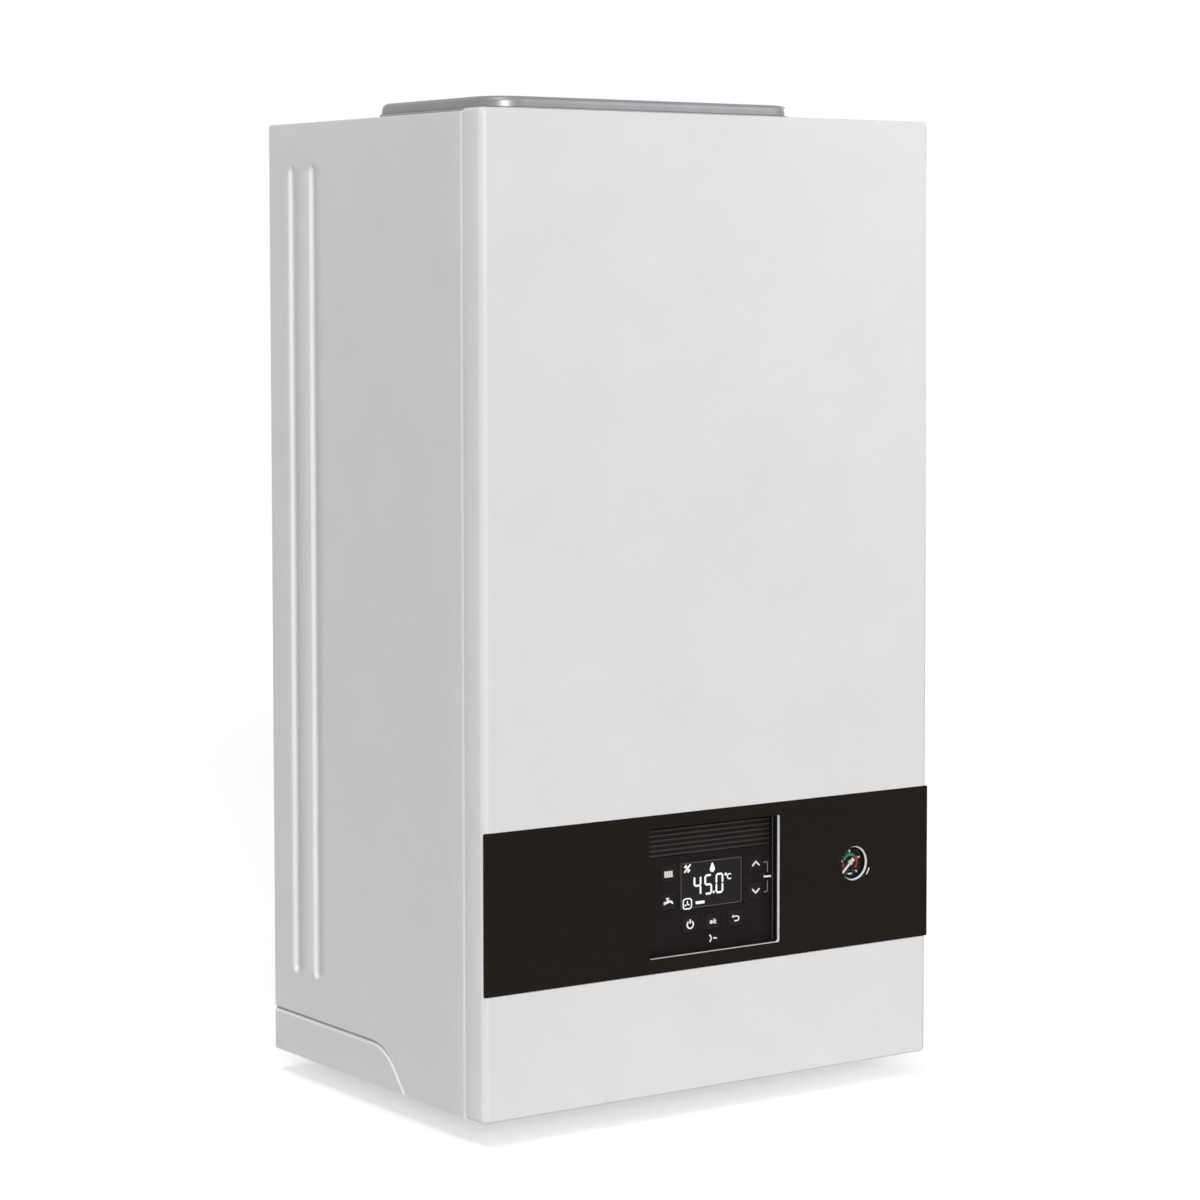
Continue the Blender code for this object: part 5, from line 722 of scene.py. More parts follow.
def opening_tools(grow, radius):
    """The forms of the window, grown by a margin, and of the gauge's hole, to be taken out of a plate."""
    ends = [band_face - cut_past, band_face + 2 * cut_past]
    window_tool = lofted("window_tool", [window_outline(grow)] * 2, ends, "Y")
    return window_tool, cylinder("gauge_tool", radius, *ends, "Y", gauge_centre, 96)


cover_room = cover_shell("cover_room", panel_sheet, cover_rear + cut_over)
band_seam = 0.0003
pocket_high, pocket_low = band_high.z + band_seam, band_low.z - band_seam
pocket_wide = (cover_low.x - cut_past, cover_high.x + cut_past)
pocket = slab("pocket", pocket_wide, (band_face - cut_past, pocket_floor), (pocket_low, pocket_high))
cover_body = carve(cover_shell("cover_pan", 0, cover_rear), cover_room, pocket)
place_piece("front_cover_pan", cover_body, powder_coat, "cover", "white_enamel", ["front_cover"])

back_half = cover_high.x - panel_sheet * 1.5
back_tall = (pocket_low - panel_sheet, pocket_high + panel_sheet)
back_plate = slab("band_back", (-back_half, back_half), (pocket_floor, pocket_floor + backing), back_tall)
back_plate = carve(back_plate, *opening_tools(opening_gap, gauge_hole + opening_gap))
place_piece("band_back_plate", back_plate, powder_coat, "cover", "white_enamel")

fold_round = 0.0020
collar_round = 0.0009
fold_turn = np.radians(np.linspace(0, 90, 8))


def folded_rows(start, round_edge, rear):
    """Distance and level pairs of a short fold: a quarter circle out of the plate, a straight wall to
    the rear, and the way back at the wall's thickness."""
    across = start + round_edge * (1 - np.sin(fold_turn))
    rows = list(zip(across, pocket_floor + round_edge * (1 - np.cos(fold_turn))))
    rows += [(start, rear), (start + reveal_wall, rear), (start + reveal_wall, pocket_floor + backing)]
    return rows + [(start + round_edge, pocket_floor + backing), rows[0]]


# The folded edges of the window and the gauge hole are in the lighter white: a painted highlight
reveal_rows = folded_rows(0, fold_round, reveal_rear)
reveal_lines = [window_outline(grow) for grow, level in reveal_rows]
reveal = lofted("window_reveal", reveal_lines, [level for grow, level in reveal_rows], "Y", closed=False)
place_piece("window_reveal", reveal, fold_coat, "cover", "white_enamel")
collar_rows = folded_rows(gauge_hole, collar_round, gauge_reveal_rear)
place_turned("gauge_reveal", collar_rows, "Y", gauge_centre, 96, fold_coat, "cover", "white_enamel")


# Control band
# Black acrylic-styrene sheet moulding, 1.2 mm, glued into the cover's recess. The face is satin with a
# warm tint, its edges are eased, and a low ring is raised round the gauge hole.

# A satin black with a warm tint: its skin shows only dim, soft-edged reflections
band_plastic = grained(
    "black_band_moulding", "1E1A15", "1B1713", 0.30, 0.0009, 0.000005, spread=0.04, gloss=0.10
)
ease = 0.0003
ease_turn = np.radians(np.linspace(0, 90, 5))
band_corner = 0.0008
band_thick = 0.0012
band_hole = gauge_hole + 0.001
plate_hole = band_hole + 0.0012
ring_outer = 0.0159
ring_height = 0.0004
ring_crown = 0.0009
ring_sink = 0.0002
ring_foot = 0.0014
ring_front = band_face - ring_height


def band_outline(inset):
    """The band's outline, drawn in by an inset."""
    middle = (0.0, (band_low.z + band_high.z) / 2)
    size = (2 * band_high.x - 2 * inset, band_high.z - band_low.z - 2 * inset)
    return rounded_outline(middle, size, band_corner - inset, 3)


band_insets = [ease + face_margin, *(ease * (1 - np.sin(ease_turn))), 0]
band_levels = [band_face, *(band_face + ease * (1 - np.cos(ease_turn))), band_face + band_thick]
band_body = lofted("control_band_plate", [band_outline(inset) for inset in band_insets], band_levels, "Y")
band_body = carve(band_body, *opening_tools(0, plate_hole))
place_piece("control_band_plate", band_body, band_plastic, "cover", "band_black", ["control_band"])
inner_round = zip(ease * (1 - np.cos(ease_turn[1:])), ease * (1 - np.sin(ease_turn[1:])))
outer_round = zip(ring_crown * (1 - np.sin(ease_turn)), ring_height * (1 - np.cos(ease_turn)))
ring_profile = [(band_hole, band_face + band_thick), (band_hole, ring_front + ease)]
ring_profile += [(band_hole + in_by, ring_front + down) for in_by, down in inner_round]
ring_profile += [(ring_outer - in_by, ring_front + down) for in_by, down in outer_round]
ring_profile += [(ring_outer, band_face + ring_sink), (band_hole + ring_foot, band_face + ring_sink)]
ring_profile += [(band_hole + ring_foot, band_face + band_thick), ring_profile[0]]
place_turned("gauge_ring", ring_profile, "Y", gauge_centre, 96, band_plastic, "cover", "band_black")


# Control module
# A moulded black frame on the tilting housing, sunk behind the window: a bevelled rim, a flat face
# with fine spark texture, and a bead down the right side painted grey as a highlight.

# The band's black with a spark-eroded skin: nearly matt, so that the prints stand out from it
module_plastic = grained("black_module_moulding", "1C1817", "181514", 0.36, 0.0008, 0.000010, gloss=0.12)
coat_nodes(module_plastic, "display_module")

face_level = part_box("display_module")[0].y + 0.0045
bead_radius = 0.0004
bead_short = 0.001
bead_x = window_centre[0] + window_size[0] / 2 - bead_radius
bead_turn = np.radians(np.linspace(0, 360, 12, endpoint=False))
bead_ring = [bead_x + bead_radius * np.cos(bead_turn), face_level - bead_radius * np.sin(bead_turn)]
bead_levels = window_centre[1] + np.array([-0.5, 0.5]) * (window_size[1] - bead_short)
bead_mesh = lofted("face_bead", [np.stack(bead_ring, axis=-1)] * 2, bead_levels, "Z")
# A bead painted grey where the moulding is black: a painted highlight, which shows as a thin grey line of
# light
edge_plastic = grained("painted_highlight_edge", "4A4846", "403E3D", 0.22, 0.0008, 0.000002, spread=0.03)
place_piece("face_bead", bead_mesh, edge_plastic, "control_box", "control_black")


# Slot cover
# A snap-in blank with six raised ribs over the slot of a plug-in controller, moulded in the same
# black. Its rib tops are painted lighter as a highlight, and the grooves stay darker as painted shade.
slot_low, slot_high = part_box("slot_cover")
rib_count = 6
rib_height = 0.0008
rib_fade = 0.0012
rib_pitch = (slot_high.z - slot_low.z) / rib_count
# The same black moulding, paler along each rib's top and darker between: painted highlight and painted shade,
# so that the ribs read as fine stripes
rib_plastic, tree, output, place = placed_material("black_ribs_painted_light")
height = add(tree, "ShaderNodeSeparateXYZ", {}, {0: place})
per_rib = 2 * math.pi / rib_pitch
phase = {"operation": "MULTIPLY_ADD", 1: per_rib, 2: -per_rib * slot_low.z}
turns = add(tree, "ShaderNodeMath", phase, {0: height.outputs["Z"]})
crest = add(tree, "ShaderNodeMath", {"operation": "SINE"}, {0: turns.outputs[0]})
tint = mixed_colour(tree, share_of(tree, crest.outputs[0], 0.35, 0.95), "181514", "433F3C")
spark = noise(tree, place, 0.0009, 4.0)
dull = between(tree, spark, 0.30, 0.42)
links = {"Base Color": tint, "Roughness": dull, "Normal": bump(tree, spark, 0.000008)}
shade(tree, output, {"Specular IOR Level": 0.14}, links)


def ribbed_plate(name):
    """The face rises and falls over the ribs as a flattened sine of the height, and fades to flat at
    both ends over about a millimetre; a second row of points behind it closes the plate."""
    near_end = np.linspace(0, rib_fade, 5)
    along = np.concatenate([slot_low.x + near_end, slot_high.x - near_end[::-1]])
    up = np.linspace(slot_low.z, slot_high.z, rib_count * 12 + 1)
    wave = np.clip(0.5 + 0.9 * np.sin(2 * np.pi * (up - slot_low.z) / rib_pitch), 0, 1)
    from_middle = np.abs(along - (slot_low.x + slot_high.x) / 2)
    fade = np.clip(((slot_high.x - slot_low.x) / 2 - from_middle) / rib_fade, 0, 1)
    face = slot_low.y + rib_height * (1 - wave[:, None] * fade[None, :])
    x = np.repeat(along[None, :], len(up), axis=0)
    z = np.repeat(up[:, None], len(along), axis=1)
    front = np.stack([x, face, z], axis=-1)
    back = np.stack([x, np.full_like(x, slot_high.y), z], axis=-1)
    return grid_mesh(name, np.concatenate([front, back[:, ::-1]], axis=1), around=True, closed=True)


rib_mesh = ribbed_plate("slot_ribs")
place_piece("slot_ribs", rib_mesh, rib_plastic, "control_box", "control_black", ["slot_cover"], crease=50)


# Display lens and its figures
# A tinted acrylic window over a liquid crystal display, flush with the face. Lit figures show pale
# white on black: a temperature, and small signs above and below it.
def glow_ink(name, code, strength):
    """A printed or lit figure: an even pale colour with a little light of its own, which on print and paint
    is painted light.
    """
    material, tree, output, place = placed_material(name)
    dull = between(tree, noise(tree, place, 0.0008, 2.0), 0.45, 0.60)
    settings = {"Base Color": linear(code), "Emission Color": linear(code), "Emission Strength": strength}
    shade(tree, output, settings, {"Roughness": dull})
    return material


# Lit segments glow a quarter as bright as their colour, so they stay clear in the dark window
lit_figure = glow_ink("lit_display_figure", "F4F4F2", 0.25)
# Screen-printed white, an even, slightly softer white than the lit figures, glowing a little as painted light
white_ink = glow_ink("white_key_print", "F0F0EE", 0.10)
# Grey print for the brackets, and a dimmer one for the line that frames the display, both glowing faintly as
# painted light
grey_ink = glow_ink("grey_key_print", "84807D", 0.02)
dim_ink = glow_ink("dim_outline_print", "58534F", 0.01)
# Tinted acrylic: smoother than the moulding round it, so it mirrors the room faintly
lens_acrylic = grained(
    "tinted_lens_acrylic", "262322", "211F1E", 0.14, 0.0020, 0.000001, spread=0.02, gloss=0.16
)

lens_low, lens_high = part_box("display_lens")
lens_size = (lens_high.x - lens_low.x, lens_high.z - lens_low.z)
lens_corner = 0.0015


def soft_plate(name, middle, size, corner, front, rear, round_edge):
    """A flat plate whose front edge is eased by a quarter circle of the rounding."""
    turn = np.radians(np.linspace(0, 90, 5))
    insets = np.append(round_edge + face_margin, round_edge * (1 - np.sin(turn)))
    levels = np.append(front, front + round_edge * (1 - np.cos(turn)))
    rows = [rounded_outline(middle, (size[0] - 2 * i, size[1] - 2 * i), corner - i * 0.9, 5) for i in insets]
    return lofted(name, rows + [rows[-1]], [*levels, rear], "Y")


lens_mesh = soft_plate(
    "lens_plate", middle_of("display_lens"), lens_size, lens_corner, lens_low.y, lens_high.y, ease
)
place_piece("lens_plate", lens_mesh, lens_acrylic, "control_box", "lens_glass", ["display_lens"])

millimetre = 0.001


def bar(start, end, width):
    """A straight stroke between two points with square ends, in millimetres."""
    start, end = np.array(start, float), np.array(end, float)
    along = (end - start) / np.linalg.norm(end - start)
    aside = np.array([-along[1], along[0]]) * width / 2
    return np.array([start - aside, end - aside, end + aside, start + aside])


def bow(centre, radius, width, first, last, steps=20):
    """A curved stroke: the band between two radii from one angle to the other, in degrees."""
    angle = np.radians(np.linspace(first, last, steps + 1))
    outer = np.stack([np.cos(angle), np.sin(angle)], axis=-1) * (radius + width / 2)
    inner = np.stack([np.cos(angle), np.sin(angle)], axis=-1)[::-1] * (radius - width / 2)
    return np.array(centre) + np.concatenate([outer, inner])


def dot(centre, radius, steps=20):
    """A filled circle."""
    angle = np.linspace(0, 2 * np.pi, steps, endpoint=False)
    return np.array(centre) + radius * np.stack([np.cos(angle), np.sin(angle)], axis=-1)


def print_figures(name, shapes, centre, front, material, body, slot, lift=0.00012):
    """Raises flat shapes, given in millimetres from a centre, off a face by the lift."""
    points, faces, start = [], [], 0
    for shape in shapes:
        flat = np.array(centre) + np.array(shape) * millimetre
        count = len(flat)
        top = np.stack([flat[:, 0], np.full(count, front - lift), flat[:, 1]], axis=-1)
        base = np.stack([flat[:, 0], np.full(count, front + lift), flat[:, 1]], axis=-1)
        points += [*top.tolist(), *base.tolist()]
        ring = np.arange(count)
        after = (ring + 1) % count
        sides = np.stack([ring, after, after + count, ring + count], axis=-1) + start
        faces += sides.tolist() + [(ring + start).tolist(), (ring + count + start).tolist()]
        start += 2 * count
    mesh = bpy.data.meshes.new(name)
    mesh.from_pydata(points, [], faces)
    return place_piece(name, mesh, material, body, slot)


digit_strokes = {
    "top": ((-1, 2), (1, 2)),
    "middle": ((-1, 0), (1, 0)),
    "bottom": ((-1, -2), (1, -2)),
    "upper_left": ((-1, 0), (-1, 2)),
    "upper_right": ((1, 0), (1, 2)),
    "lower_left": ((-1, -2), (-1, 0)),
    "lower_right": ((1, -2), (1, 0)),
}
digit_lit = {
    "0": ("top", "bottom", "upper_left", "upper_right", "lower_left", "lower_right"),
    "4": ("middle", "upper_left", "upper_right", "lower_right"),
    "5": ("top", "middle", "bottom", "upper_left", "lower_right"),
}


def digit(sign, middle, half, stroke):
    """One seven-stroke figure: each lit stroke is a bar with pointed ends between two of its corners."""
    shapes = []
    gap, point = stroke * 0.08, stroke * 0.55
    for lit in digit_lit[sign]:
        (x0, z0), (x1, z1) = digit_strokes[lit]
        start = np.array([x0 * half[0], z0 * half[1] / 2])
        end = np.array([x1 * half[0], z1 * half[1] / 2])
        along = (end - start) / np.linalg.norm(end - start)
        aside = np.array([-along[1], along[0]]) * stroke / 2
        near, far = start + along * point, end - along * point
        tips = [start + along * gap, near - aside, far - aside, end - along * gap, far + aside, near + aside]
        shapes.append(np.array(middle) + np.array(tips))
    return shapes


def strips_between(outer, inner):
    """The line between two outlines with as many points, as one four-sided piece for each step."""
    after = np.roll(np.arange(len(outer)), -1)
    return [np.stack([outer[i], outer[j], inner[j], inner[i]]) for i, j in enumerate(after)]


face_zero = (0.0, floor_edge)
figure_middle = 148.3
digit_half = (2.75, 6.75)
digit_stroke = 1.55
temperature = []
for figure, place_x in (("4", -9.7), ("5", 0.0), ("0", 10.1)):
    temperature += digit(figure, (place_x, figure_middle), digit_half, digit_stroke)
temperature += [bar((4.9, figure_middle - 6.9), (4.9, figure_middle - 5.3), 1.6)]
temperature += [bow((15.9, 154.3), 0.85, 0.6, 0, 360), bow((19.3, 152.4), 1.9, 0.85, 45, 315)]
drop_turn = np.radians(np.linspace(150, 390, 20))
drop_bowl = np.stack([2.3 * np.cos(drop_turn), -1.2 + 2.3 * np.sin(drop_turn)], axis=-1)
signs = [np.concatenate([drop_bowl, [(0.45, 3.4), (-0.45, 3.4)]]) + np.array([3.7, 160.6])]
signs += [bar((-21.6, 159.0), (-16.0, 164.6), 1.3), bar((-20.6, 163.6), (-16.8, 159.6), 1.2)]
signs += [bar((-21.4, 162.6), (-19.6, 164.4), 1.5), bar((-18.6, 159.0), (-16.6, 160.9), 1.5)]
clock_middle = (-18.8, 135.9)
clock_outer = rounded_outline(clock_middle, (8.4, 8.4), 2.6, 6)
signs += strips_between(clock_outer, rounded_outline(clock_middle, (6.5, 6.5), 1.8, 6))
signs += [bar(clock_middle, (-18.8, 138.0), 0.9), bar((-19.2, 135.9), (-16.9, 134.9), 0.9)]
signs += [bar((-21.3, 134.9), (-19.6, 134.9), 1.1), bar((-11.3, 135.8), (-3.4, 135.8), 2.1)]
frame_middle = (2.8, 149.1)
frame_outer = rounded_outline(frame_middle, (54.9, 33.6), 1.2, 3)
frame_line = strips_between(frame_outer, rounded_outline(frame_middle, (53.9, 32.6), 0.8, 3))
lens_print = (face_zero, lens_low.y)
print_figures("temperature_figures", temperature, *lens_print, lit_figure, "control_box", "pointer_white")
print_figures("display_signs", signs, *lens_print, lit_figure, "control_box", "pointer_white")
frame_look = (dim_ink, "control_box", "control_black")
print_figures("display_outline", frame_line, *lens_print, *frame_look, lift=0.00004)


# Keys
# Seven soft-touch caps with dished faces and eased edges stand four tenths of a millimetre proud of
# the face. Their signs are screen printed in white, and grey brackets are printed beside the pair.

# Soft-touch black: duller than the moulding round it, with a faint sheen on the eased edges
key_rubber = grained("black_key_cap", "201C1A", "1B1816", 0.42, 0.0007, 0.000008, gloss=0.14)
key_ease = 0.0009
key_dish = 0.00025
key_corner = 0.0010
flange_step = 0.0016
flange_trim = 0.0002
flange_thick = 0.0008
flange_corner = 0.0022
flange_lead = 0.0001


def key_cap(name, low, high, middle):
    """A cap: rows run from the dished middle of the face outwards over the eased edge to the skirt.
    The face sinks towards its middle as one minus the square of the distance."""
    cap = np.array([high.x - low.x - flange_step, high.z - low.z - flange_step])
    shares = np.array([0.02, 0.25, 0.5, 0.75, 1.0])
    turn = np.radians(np.linspace(0, 90, 7))[1:]
    face = cap - 2 * key_ease
    rows = [rounded_outline(middle, face * share, key_corner * share, 5) for share in shares]
    levels = list(low.y + key_dish * (1 - shares**2))
    for a in turn:
        out = key_ease * math.sin(a)
        rows.append(rounded_outline(middle, face + 2 * out, key_corner + out * 0.6, 5))
        levels.append(low.y + key_ease * 0.5 * (1 - math.cos(a)))
    skirt = high.y - flange_thick
    rows += [rows[-1], rounded_outline(middle, cap + flange_step - flange_trim, flange_corner, 5)]
    rows += [rows[-1]]
    levels += [skirt, skirt + flange_lead, high.y]
    return lofted(name, rows, levels, "Y")


chevron = [bar((-3.3, -1.5), (0.25, 1.9), 1.15), bar((3.3, -1.5), (-0.25, 1.9), 1.15)]
radiator = [bar((x, -2.3), (x, 2.4), 1.35) for x in (-2.9, -1.0, 0.9, 2.8)]
radiator += [bar((-3.9, 1.5), (3.2, 1.5), 0.9), bar((-3.0, -1.5), (4.0, -1.5), 0.9)]
tap = [bar((-0.9, 2.6), (-0.9, 0.6), 1.3), bar((-2.2, 2.6), (0.5, 2.6), 1.0)]
tap += [bar((-3.9, -0.9), (1.2, 0.5), 1.9), bow((1.3, -1.9), 2.2, 1.5, 85, 5, 10)]
tap += [bar((-3.8, -1.9), (-3.8, 0.3), 1.0)]
power = [bow((0, -0.2), 2.75, 1.15, 125, 415), bar((0, 0.6), (0, 3.6), 1.25)]
ok_sign = [bow((-1.65, -0.35), 1.05, 0.75, 0, 360), bar((0.75, -1.75), (0.75, 2.0), 0.8)]
ok_sign += [bar((0.9, -0.5), (2.6, 0.9), 0.8), bar((1.3, -0.1), (2.7, -1.75), 0.8)]
back_sign = [bar((-2.4, 1.6), (1.1, 1.6), 0.95), bow((1.1, -0.1), 1.7, 0.95, 90, -90)]
back_sign += [bar((-1.2, -1.8), (1.1, -1.8), 0.95), np.array([(-3.6, 1.6), (-1.9, 0.2), (-1.9, 3.0)])]
key_signs = {
    "heating_key": radiator,
    "hot_water_key": tap,
    "up_key": chevron,
    "down_key": [shape * np.array([1, -1]) for shape in chevron],
    "power_key": power,
    "ok_key": ok_sign,
    "back_key": back_sign,
}
for key, shapes in key_signs.items():
    low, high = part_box(key)
    middle = middle_of(key)
    body = key + "_body"
    place_piece(key + "_cap", key_cap(key + "_cap", low, high, middle), key_rubber, body, "key_black", [key])
    sign_level = low.y + key_dish * 0.5
    print_figures(key + "_sign", shapes, middle, sign_level, white_ink, body, "pointer_white", lift=0.00016)

lever = [bar((-2.4, 2.6), (-0.9, 0.6), 1.2), bar((-2.4, -2.6), (-0.9, -0.6), 1.2)]
lever += [bar((-1.0, -1.0), (-1.0, 1.0), 1.1), bar((0.8, 0), (4.2, -0.5), 1.1)]
lever_place = (0.0037, floor_edge + 0.1083)
bracket = [bar((50.6, 159.6), (54.4, 159.6), 0.75), bar((54.1, 159.9), (54.1, 152.2), 0.75)]
bracket += [bar((50.6, 137.5), (54.4, 137.5), 0.75), bar((54.1, 137.2), (54.1, 145.6), 0.75)]
dash = [bar((50.7, 148.9), (57.4, 148.7), 1.35)]
print_figures("lever_sign", lever, lever_place, face_level, white_ink, "control_box", "pointer_white")
print_figures("pair_brackets", bracket, face_zero, face_level, grey_ink, "control_box", "control_grey")
print_figures("pair_dash", dash, face_zero, face_level, white_ink, "control_box", "pointer_white")


# Pressure gauge
# A blackened steel can with a printed aluminium dial: a green band for the working range, red ones at
# both ends, white marks, a white pointer on a spindle, and a flat glass held by a thin bezel.

# Blackened steel: darker than the mouldings and a little metallic, so its rim draws a thin highlight
can_black = grained("black_gauge_can", "1B1B1B", "141414", 0.32, 0.0010, 0.000004, metallic=0.4, spread=0.04)
# The dial's ground is printed flat black and swallows the light
dial_black = grained("black_dial_print", "0B0B0B", "060606", 0.55, 0.0010, 0.000003, spread=0.04, gloss=0.12)
# Flat printed colours, clear against the black ground, glowing a little as painted light
green_ink = glow_ink("green_dial_print", "1E9A52", 0.05)
red_ink = glow_ink("red_dial_print", "C4302A", 0.05)
wine_ink = glow_ink("dark_red_dial_print", "B0285A", 0.05)
# The pointer's paint is the brightest white on the dial, and glows a little as painted light
pointer_white = glow_ink("white_pointer_paint", "F6F6F4", 0.08)
coat_nodes(can_black, "gauge_can")
coat_nodes(dial_black, "gauge_dial")

# A short white arc on the ring that the band raises round the gauge: a painted highlight on the ring's edge,
# in ink that glows a little
ring_arc = [bow((0, 0), 14.4, 0.8, -18, -40, 12)]
ring_look = (white_ink, "cover", "pointer_white")
print_figures("ring_painted_highlight", ring_arc, gauge_centre, ring_front, *ring_look, lift=0.00008)
dial_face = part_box("gauge_dial")[0].y
dial_lift = 0.00006
for name, shape, ink in (
    ("dial_green_band", bow((0, 0), 6.0, 1.5, 160, 48, 30), green_ink),
    ("dial_red_band", bow((0, 0), 6.4, 1.4, 38, -44, 20), red_ink),
    ("dial_low_band", bow((0, 0), 6.8, 1.3, 210, 182, 10), wine_ink),
):
    print_figures(name, [shape], gauge_centre, dial_face, ink, "control_box", "gauge_black", lift=dial_lift)
marks = []
for angle, radius, width in ((94, 8.6, 1.1), (22, 8.9, 1.1), (-50, 9.2, 1.1)):
    aim = np.array([math.cos(math.radians(angle)), math.sin(math.radians(angle))])
    marks.append(bar(aim * (radius - 1.0), aim * (radius + 1.0), width))
marks.append(bar((-1.9, -8.6), (1.9, -8.6), 1.1))
marks.append(bow((0, 0), 10.2, 0.5, 160, 124, 10))
marks.append(bar((-9.6, 3.5), (-6.9, 0.8), 0.7))
print_figures(
    "dial_marks", marks, gauge_centre, dial_face, white_ink, "control_box", "pointer_white", lift=dial_lift
)

needle_front = dial_face - 0.0009
spindle_radius = 0.0006
spindle_rear = dial_face + 0.0012
needle_aim = math.radians(223)
needle_half = [(-3.8, 1.35), (-1.0, 1.35), (0.3, 0.72), (9.8, 0.66), (11.0, 0.60)]
needle_shape = [(along, -half) for along, half in needle_half] + [(11.5, 0)] + needle_half[::-1]
spin = [(math.cos(needle_aim), math.sin(needle_aim)), (-math.sin(needle_aim), math.cos(needle_aim))]
needle = [np.array(needle_shape) @ np.array(spin), dot((0, 0), 1.9, 28)]
pointer_look = (pointer_white, "gauge_pointer_body", "pointer_white")
needle_piece = print_figures("needle", needle, gauge_centre, needle_front, *pointer_look, lift=0.00022)
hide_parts("gauge_pointer")
spindle = cylinder("needle_spindle", spindle_radius, needle_front, spindle_rear, "Y", gauge_centre, 16)
place_piece("needle_spindle", spindle, *pointer_look)

# Clear float glass, flat, with hardly any tint, so that only a faint reflection shows it
clear_glass, tree, output, place = placed_material("clear_gauge_glass")
dull = between(tree, noise(tree, place, 0.006, 2.0), 0.01, 0.05)
glass_settings = {"Base Color": linear("FFFFFF"), "Transmission Weight": 1.0, "IOR": 1.45, "Alpha": 0.12}
shade(tree, output, glass_settings, {"Roughness": dull})
coat_nodes(clear_glass, "gauge_glass")


# Heat cell, burner door and burner
# The cell is a sand-cast aluminium drum with its flue collar and ports in one piece. Eight nuts hold
# its domed door, and a glazed ceramic electrode passes through the door.
def eased(node, kind, material, slot, edge, body="casing"):
    """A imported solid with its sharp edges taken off: a copy has its doubled points merged and its flat
    faces joined, and each outer edge that turns by more than 40 degrees is cut off by the width given."""
    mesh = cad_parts[node].data.copy()
    work = bmesh.new()
    work.from_mesh(mesh)
    bmesh.ops.remove_doubles(work, verts=work.verts, dist=1e-6)
    bmesh.ops.dissolve_limit(work, angle_limit=math.radians(1), verts=work.verts, edges=work.edges)
    sharp = [line for line in work.edges if line.is_convex and line.calc_face_angle(0) > math.radians(40)]
    bmesh.ops.bevel(work, geom=sharp, offset=edge, segments=1, affect="EDGES", clamp_overlap=True)
    work.to_mesh(mesh)
    work.free()
    return place_piece(node + "_" + kind, mesh, material, body, slot, [node])


def joined(name, meshes):
    """One mesh of several."""
    work = bmesh.new()
    for mesh in meshes:
        work.from_mesh(mesh)
    whole = bpy.data.meshes.new(name)
    work.to_mesh(whole)
    work.free()
    return whole


def nut_on_washer(name, middle, seat, across):
    """A nut that faces forwards, as a stack of outlines: a round washer, then six sides whose distance
    from the middle is half the width over the cosine of the angle from the nearest flat."""
    washer_top, nut_top, chamfer_top, stud_top = 0.0010, 0.0040, 0.0044, 0.0050
    angle = np.linspace(0, 2 * np.pi, 24, endpoint=False)
    ring = np.stack([np.cos(angle), np.sin(angle)], axis=-1)
    six = ring * (across / 2 / np.cos((angle + np.pi / 6) % (np.pi / 3) - np.pi / 6))[:, None]
    washer, chamfer, stud = ring * across * 0.62, ring * across * 0.47, ring * across * 0.27
    rows = [row + np.array(middle) for row in (washer, washer, six, six, chamfer, stud, stud)]
    heights = [-0.0002, washer_top, washer_top, nut_top, chamfer_top, chamfer_top, stud_top]
    return lofted(name, rows, seat - np.array(heights), "Y")


# Sand casting: a dull skin with a pebbled grain about a millimetre across
cast_aluminium = grained(
    "sand_cast_aluminium", "B0B2B4", "9A9C9E", 0.50, 0.0011, 0.00006, metallic=0.85, spread=0.08
)
eased("heat_cell", "casting", cast_aluminium, "cast_aluminium", 0.0008)

door_low, door_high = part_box("burner_door")
door_middle = middle_of("burner_door")
door_radius = 0.1114
door_bore = 0.0142
door_front = door_low.y + 0.0045
door_ease = 0.0012
step_rise = 0.0012
step_slope = 0.0030
outer_step = 0.0900
inner_step = 0.0620
dome_radius = 0.048
dome_slope = 0.0045
spark_hole = 0.0047
sweep = np.linspace(0, 1, 7)
ramp = (1 - np.cos(np.pi * sweep)) / 2
door_profile = [(door_bore, door_high.y), (door_radius, door_high.y)]
door_profile += arc((door_radius - door_ease, door_front + door_ease), door_ease, 0, -90, 5)
door_profile += [(outer_step - step_slope * s, door_front - step_rise * r) for s, r in zip(sweep, ramp)]
door_profile += [(inner_step - step_slope * s, door_front - step_rise * (1 - r)) for s, r in zip(sweep, ramp)]
dome_rise = door_low.y - door_front
door_profile += [(dome_radius - dome_slope * s, door_front + dome_rise * r) for s, r in zip(sweep, ramp)]
door_profile += [(door_bore, door_low.y), (door_bore, door_high.y)]
spark_ends = (door_low.y - cut_past, door_high.y + cut_past)
spark_tool = cylinder("spark_tool", spark_hole, *spark_ends, "Y", middle_of("ignition_electrode"), 32)
door_mesh = carve(lathe("door_casting", door_profile, "Y", door_middle, 96), spark_tool)
place_piece("door_casting", door_mesh, cast_aluminium, "casing", "cast_aluminium", ["burner_door"])

# Zinc-plated steel, bright, with the fine marks of the tool
zinc_plate = grained("zinc_plated_nut", "C3C3C0", "ADADAA", 0.30, 0.0004, 0.000003, metallic=0.9, spread=0.06)
nut_circle = 0.1043
nut_across = 0.010
nut_turns = np.radians(np.arange(8) * 45 + 22.5)
nut_middles = np.array(door_middle) + nut_circle * np.stack([np.cos(nut_turns), np.sin(nut_turns)], axis=-1)
nuts = [nut_on_washer("door_nut", middle, door_front, nut_across) for middle in nut_middles]
place_piece("door_nuts", joined("door_nuts", nuts), zinc_plate, "casing", "stainless")

